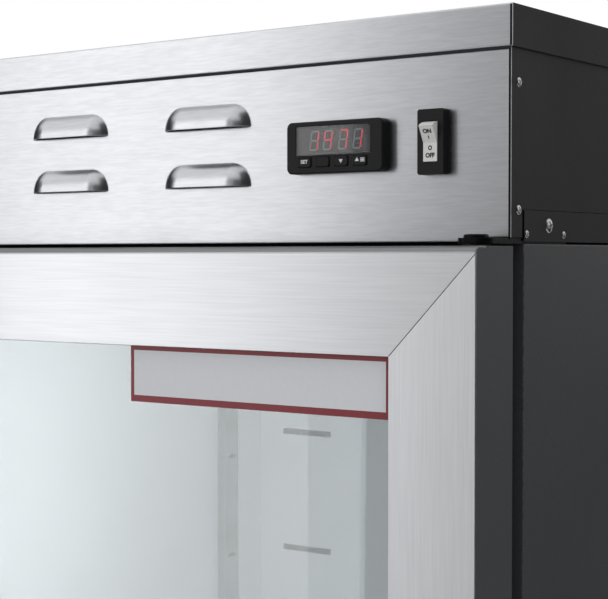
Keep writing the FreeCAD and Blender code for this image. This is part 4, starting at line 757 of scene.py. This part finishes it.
mitreLook = {"outer": (0.2992, 1.7489), "inner": (0.2399, 1.6878), "middle": 0.9075, "face": -0.28825}
shadowStrips = []
for side in (-1, 1):
    for up in (-1, 1):
        start, stop = [Vector((side * x, mitreLook["face"],
                               mitreLook["middle"] + up * (z - mitreLook["middle"])))
                       for x, z in (mitreLook["outer"], mitreLook["inner"])]
        shadowStrip = block((-shadowStripLook["mitreWide"] / 2, -shadowStripLook["proud"], 0),
                     (shadowStripLook["mitreWide"] / 2, shadowStripLook["deep"], (stop - start).length))
        lean = math.atan2((stop - start).x, (stop - start).z)
        shadowStrip.data.transform(Matrix.Translation(start) @ Matrix.Rotation(lean, 4, "Y"))
        shadowStrips.append(shadowStrip)
give(joinAs("mitreBeads", shadowStrips), finishes["seamBlack"], "door", "brushed_stainless")
print("seams closed")

# hinge pins: domed heads on plain shanks
pinLook = {"x": 0.287, "y": -0.26625, "shank": 0.004, "head": 0.0075, "rise": 0.0022, "round": 0.0013,
           "top": (1.735, 1.7585), "bottom": (0.08, 0.0565)}
pins = []
for inner, outer in (pinLook["top"], pinLook["bottom"]):
    way = 1 if outer > inner else -1
    top = outer + way * pinLook["rise"]
    foot, neck, crown = [(pinLook["x"], pinLook["y"], z) for z in (inner, outer, top)]
    pins.append(rod(foot, neck, pinLook["shank"], 32))
    head = rod(neck, crown, pinLook["head"], 40)
    pick(head, "FACE", lambda face: face.normal.z * way > 0.9)
    bpy.ops.mesh.bevel(offset=pinLook["round"], segments=4, affect="EDGES")
    backToObject()
    pins.append(head)
hingePins = smooth(joinAs("hingePins", pins), 40)
give(hingePins, finishes["hingeBlack"], "cabinet", "hinge_black", "hinge_pins")
print("hinge pins set")

# door handle: a round bar on two posts
handleLook = {"x": -0.26955, "y": -0.32425, "low": 0.89, "high": 1.21, "radius": 0.009, "cap": 0.0015,
              "postRadius": 0.006, "postInset": 0.03, "door": -0.28825}
handleX, handleY = handleLook["x"], handleLook["y"]
handleBar = rod((handleX, handleY, handleLook["low"]), (handleX, handleY, handleLook["high"]),
                handleLook["radius"], 64)
softenEdges(handleBar, handleLook["cap"], 4, 50)
posts = []
for z in (handleLook["low"] + handleLook["postInset"], handleLook["high"] - handleLook["postInset"]):
    posts.append(rod((handleX, handleY, z), (handleX, handleLook["door"], z), handleLook["postRadius"], 40))
pullHandle = smooth(joinAs("pullHandle", [handleBar, *posts]), 40)
give(pullHandle, finishes["handleSteel"], "door", "brushed_stainless", "door_handle")
print("handle fitted")

# wire shelves: a round rim with bent corners, wires across it and two stays under them
shelfLook = {"rim": 0.003, "corner": 0.014, "wire": 0.002, "wireInset": 0.008, "wires": 13, "stay": 0.0015,
             "stayShares": (0.33, 0.67)}


def modelShelf(low, high):
    middle = (low + high) / 2
    size = high - low
    rimRadius = shelfLook["rim"]
    clearChoice()
    bpy.ops.mesh.primitive_plane_add(size=1, location=(middle.x, middle.y, low.z + rimRadius))
    rim = bpy.context.object
    rim.scale = (size.x - 2 * rimRadius, size.y - 2 * rimRadius, 1)
    fixPlace(rim)
    bpy.ops.object.mode_set(mode="EDIT")
    bpy.ops.mesh.select_all(action="SELECT")
    bpy.ops.mesh.bevel(offset=shelfLook["corner"], segments=8, affect="VERTICES")
    bpy.ops.mesh.select_all(action="SELECT")
    bpy.ops.mesh.delete(type="ONLY_FACE")
    backToObject()
    bpy.ops.object.convert(target="CURVE")
    rim.data.bevel_depth = rimRadius
    rim.data.bevel_resolution = 4
    bpy.ops.object.convert(target="MESH")
    parts = [bpy.context.object]
    wireZ, stayZ = high.z - shelfLook["wire"], low.z + shelfLook["stay"]
    innerLow, innerHigh = low.x + shelfLook["wireInset"], high.x - shelfLook["wireInset"]
    pitch = (innerHigh - innerLow) / (shelfLook["wires"] + 1)
    for number in range(1, shelfLook["wires"] + 1):
        x = innerLow + pitch * number
        ends = (x, low.y + rimRadius, wireZ), (x, high.y - rimRadius, wireZ)
        parts.append(rod(*ends, shelfLook["wire"], 12))
    for share in shelfLook["stayShares"]:
        y = low.y + size.y * share
        ends = (low.x + rimRadius, y, stayZ), (high.x - rimRadius, y, stayZ)
        parts.append(rod(*ends, shelfLook["stay"], 10))
    return smooth(joinAs("wireShelf", parts), 50)


firstLow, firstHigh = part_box("wire_shelf_1")
firstShelf = modelShelf(firstLow, firstHigh)
shelves = [firstShelf]
for number in (2, 3, 4):
    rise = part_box(f"wire_shelf_{number}")[0].z - firstLow.z
    shelves.append(copyTo(firstShelf, f"wireShelf{number}", Matrix.Translation((0, 0, rise))))
firstShelf.name = "wireShelf1"
for number, shelf in enumerate(shelves, start=1):
    give(shelf, finishes["chromeWire"], "cabinet", "chrome_wire", f"wire_shelf_{number}")
print("shelves bent")

# levelling feet: a stepped pad, a nut and a stud
footLook = {"pad": 0.022, "crown": 0.017, "padEdge": 0.004, "padTop": 0.008, "padRound": 0.0009,
            "nut": 0.0105, "nutTop": 0.016, "nutRound": 0.0006, "stud": 0.006}


def modelFoot(top):
    pad = rod((0, 0, 0), (0, 0, footLook["padEdge"]), footLook["pad"], 56)
    pick(pad, "FACE", lambda face: face.normal.z > 0.9)
    bpy.ops.mesh.inset(thickness=footLook["pad"] - footLook["crown"])
    bpy.ops.transform.translate(value=(0, 0, footLook["padTop"] - footLook["padEdge"]))
    backToObject()
    softenEdges(pad, footLook["padRound"], 3, 20)
    nut = rod((0, 0, footLook["padTop"]), (0, 0, footLook["nutTop"]), footLook["nut"], 6)
    softenEdges(nut, footLook["nutRound"], 2, 30)
    stud = rod((0, 0, footLook["nutTop"]), (0, 0, top), footLook["stud"], 32)
    return smooth(joinAs("foot", [pad, nut, stud]), 30)


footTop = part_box("levelling_foot_front_left")[1].z
unitFoot = modelFoot(footTop)
for name in ("front_left", "front_right", "rear_left", "rear_right"):
    low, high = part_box(f"levelling_foot_{name}")
    foot = copyTo(unitFoot, "foot" + name.title().replace("_", ""),
                  Matrix.Translation(((low.x + high.x) / 2, (low.y + high.y) / 2, 0)))
    give(foot, finishes["zincPlate"], f"foot_{name}", "zinc", f"levelling_foot_{name}")
bpy.data.objects.remove(unitFoot)
print("feet turned")

# display strokes: seven per digit, on the filter behind the lens
digitLook = {"centres": (0.1606, 0.1712, 0.1831, 0.1943), "level": 1.82195, "front": -0.25412,
             "back": -0.25405, "thick": 0.00095, "wide": 0.0056, "half": 0.0059, "gap": 0.0005, "lean": 8.5,
             "lit": ("bc", "fgbc", "abc", "bc")}
strokePlaces = {"a": (0, 1, True), "g": (0, 0, True), "d": (0, -1, True), "b": (0.5, 0.5, False),
                "c": (0.5, -0.5, False), "f": (-0.5, 0.5, False), "e": (-0.5, -0.5, False)}


def modelStroke(length):  # a slim six-sided bar that stands up
    clearChoice()
    radius = digitLook["thick"] / math.sqrt(3)
    bpy.ops.mesh.primitive_cylinder_add(vertices=6, radius=radius, rotation=(math.radians(90), 0, 0),
                                        depth=digitLook["back"] - digitLook["front"])
    stroke = fixPlace(bpy.context.object)
    stretch = length / 2 - radius
    for way in (1, -1):
        pick(stroke, "VERT", lambda point: point.co.z * way > 0)
        bpy.ops.transform.translate(value=(0, 0, way * stretch))
        backToObject()
    return stroke


uprightStroke = modelStroke(digitLook["half"] - digitLook["gap"])
levelStroke = modelStroke(digitLook["wide"] - digitLook["gap"])
levelStroke.data.transform(turned(90, "Y"))
lean = Matrix.Identity(4)
lean[0][2] = math.tan(math.radians(digitLook["lean"]))
depthY = (digitLook["front"] + digitLook["back"]) / 2
litStrokes, unlitStrokes = [], []
for x, lit in zip(digitLook["centres"], digitLook["lit"]):
    for letter, (across, upward, isLevel) in strokePlaces.items():
        shift = Matrix.Translation((across * digitLook["wide"], 0, upward * digitLook["half"]))
        place = Matrix.Translation((x, depthY, digitLook["level"]))
        stroke = copyTo(levelStroke if isLevel else uprightStroke, "stroke", place @ lean @ shift)
        (litStrokes if letter in lit else unlitStrokes).append(stroke)
bpy.data.objects.remove(uprightStroke)
bpy.data.objects.remove(levelStroke)
give(joinAs("litStrokes", litStrokes), finishes["litStroke"], "cabinet", "display")
give(joinAs("unlitStrokes", unlitStrokes), finishes["unlitStroke"], "cabinet", "display")
print("display lit")


# printed marks
printLook = {"capitalShare": 0.72, "film": 0.00003}  # a capital fills this share of its size


def word(text, height, place, tilt=90, squeeze=1.0, bold=0.0):
    clearChoice()
    bpy.ops.object.text_add(location=(0, 0, 0))
    letters = bpy.context.object
    letters.data.body = text
    letters.data.size = height / printLook["capitalShare"]
    letters.data.extrude = printLook["film"]
    letters.data.offset = bold
    letters.data.align_x = "CENTER"
    letters.data.align_y = "CENTER"
    letters.data.resolution_u = 4
    bpy.ops.object.convert(target="MESH")
    mark = bpy.context.object
    mark.data.transform(Matrix.Translation(place) @ turned(tilt, "X") @ Matrix.Diagonal((squeeze, 1, 1, 1)))
    return mark


rockerLook = {"x": 0.24835, "foldY": -0.255482, "foldZ": 1.816994, "tilt": 28.0, "proud": 0.00002,
              "bold": 0.0002}
rockerWords = (  # the word, its height, how far it stands above the rocker's fold, and its width
    ("ON", 0.0027, 0.0075, 1), ("I", 0.0019, 0.0034, 1),
    ("O", 0.0027, -0.0034, 0.9), ("OFF", 0.0027, -0.0079, 0.98))
legends = []
for letters, height, up, squeeze in rockerWords:
    tilt = rockerLook["tilt"] if up > 0 else 0
    across, along = math.cos(math.radians(tilt)), math.sin(math.radians(tilt))
    place = (rockerLook["x"], rockerLook["foldY"] - up * along - rockerLook["proud"] * across,
             rockerLook["foldZ"] + up * across - rockerLook["proud"] * along)
    legends.append(word(letters, height, place, 90 + tilt, squeeze, rockerLook["bold"]))
give(joinAs("rockerLegends", legends), finishes["legendInk"], "rocker_switch", "black_plastic")

keyLow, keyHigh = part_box("button_set")
keyLook = {"lift": 0.0003, "set": 0.1541, "letters": 0.0023, "squeeze": 1.1, "bold": 0.0001, "down": 0.1829,
           "up": 0.1973, "mark": 0.0019, "markWide": 0.95, "markTall": 0.85, "arrowShift": 0.0020,
           "barFrom": 0.0006, "barTo": 0.0038, "barPitch": 0.0009, "barHalf": 0.00028}
keyFace = keyLow.y
keyLevel = (keyLow.z + keyHigh.z) / 2 + keyLook["lift"]
setWord = word("SET", keyLook["letters"], (keyLook["set"], keyFace, keyLevel), 90, keyLook["squeeze"],
               keyLook["bold"])
setWord.name = "keySetWord"
give(setWord, finishes["keyInk"], "key_set", "grey_plastic")


def arrow(name, x, pointsUp):
    clearChoice()
    bpy.ops.mesh.primitive_cylinder_add(vertices=3, radius=keyLook["mark"], depth=2 * printLook["film"])
    mark = bpy.context.object
    mark.name = name
    mark.data.transform(Matrix.Translation((x, keyFace, keyLevel)) @ turned(90, "X")
                        @ turned(0 if pointsUp else 180, "Z")
                        @ Matrix.Diagonal((keyLook["markWide"], keyLook["markTall"], 1, 1)))
    return mark


give(arrow("keyDownMark", keyLook["down"], False), finishes["keyInk"], "key_down", "grey_plastic")
bars = []
barLeft, barRight = keyLook["up"] + keyLook["barFrom"], keyLook["up"] + keyLook["barTo"]
for step in (-1, 0, 1):
    level = keyLevel + keyLook["barPitch"] * step
    bars.append(block((barLeft, keyFace - printLook["film"], level - keyLook["barHalf"]),
                      (barRight, keyFace + printLook["film"], level + keyLook["barHalf"])))
upMark = joinAs("keyUpMark", [arrow("upArrow", keyLook["up"] - keyLook["arrowShift"], True), *bars])
give(upMark, finishes["keyInk"], "key_up", "grey_plastic")
print("marks printed")

# bare bordered plate on the outer pane
plateLook = {"left": 0.0272, "right": 0.2382, "bottom": 1.6490, "top": 1.6871, "front": -0.28395,
             "back": -0.28375, "border": 0.0030, "lowBorder": 0.0015}
near = 0.00001  # closer than this is the same place
plate = block((plateLook["left"], plateLook["front"], plateLook["bottom"]),
              (plateLook["right"], plateLook["back"], plateLook["top"]))
plate.name = "barePlate"
pick(plate, "FACE", lambda face: face.normal.y < -0.9)
bpy.ops.mesh.inset(thickness=plateLook["border"])
backToObject()
innerLeft, innerRight = plateLook["left"] + plateLook["border"], plateLook["right"] - plateLook["border"]
innerBottom = plateLook["bottom"] + plateLook["border"]
pick(plate, "VERT", lambda point: abs(point.co.z - innerBottom) < near
     and point.co.y < plateLook["front"] + near and innerLeft - near < point.co.x < innerRight + near)
bpy.ops.transform.translate(value=(0, 0, plateLook["lowBorder"]))
backToObject()
give(plate, finishes["plateRed"], "door", "ivory_plastic")
plate.data.materials.append(finishes["plateSilver"])
middleX, middleZ = (innerLeft + innerRight) / 2, (innerBottom + plateLook["top"]) / 2
for face in plate.data.polygons:  # the field is the one front face that stands near the plate's middle
    offMiddle = max(abs(face.center.x - middleX), abs(face.center.z - middleZ))
    if face.normal.y < -0.9 and offMiddle < plateLook["border"]:
        face.material_index = 1
print("plate stuck on")

# floor and dark cards
floorLook = {"radius": 6.5, "colour": (0.84, 0.84, 0.845, 1), "fadeFrom": 2.6, "fadeTo": 6.0}
clearChoice()
bpy.ops.mesh.primitive_circle_add(vertices=96, radius=floorLook["radius"], fill_type="NGON")
studioFloor = fixPlace(bpy.context.object)
studioFloor.name = "studioFloor"
floorFinish, floorTree, floorShader = startFinish("studioPaper")
paper = effect(skin, placed(floorTree), Fine=300.0, Broad=2.0)
feed(floorShader, "Base Color", blendColour(paper.outputs["Tone"], shade(floorLook["colour"], 0.99),
                                            floorLook["colour"]))
feed(floorShader, "Roughness", 0.9)
feed(floorShader, "Specular IOR Level", 0.1)
glowing = floorTree.nodes.new("ShaderNodeEmission")
feed(glowing, "Strength", 1.0)
radial = floorTree.nodes.new("ShaderNodeVectorMath")
radial.operation = "LENGTH"
feed(radial, 0, placed(floorTree))
fade = spread(radial.outputs["Value"], floorLook["fadeFrom"], floorLook["fadeTo"])
floorRays = floorTree.nodes.new("ShaderNodeLightPath")
seen = maths("MAXIMUM", floorRays.outputs["Is Camera Ray"], floorRays.outputs["Is Glossy Ray"])
rim = floorTree.nodes.new("ShaderNodeMixShader")
for place, value in enumerate((maths("MULTIPLY", fade, seen), floorShader.outputs[0], glowing.outputs[0])):
    feed(rim, place, value)
floorOut = next(node for node in floorTree.nodes if node.type == "OUTPUT_MATERIAL")
feed(floorOut, "Surface", rim.outputs[0])
studioFloor.data.materials.append(floorFinish)

for name, look in flags.items():
    clearChoice()
    bpy.ops.mesh.primitive_plane_add(size=1, location=look["place"],
                                     rotation=turnTo(look["place"], look["aim"]))
    card = bpy.context.object
    card.name = name
    card.scale = (*look["size"], 1)
    fixPlace(card)
    card.visible_camera = False
    card.visible_diffuse = False
    card.visible_shadow = False
    card.visible_transmission = False
    cardFinish, _, cardShader = startFinish(name)
    feed(cardShader, "Base Color", (look["grey"], look["grey"], look["grey"], 1))
    feed(cardShader, "Roughness", 0.9)
    card.data.materials.append(cardFinish)
print("floor and cards set")
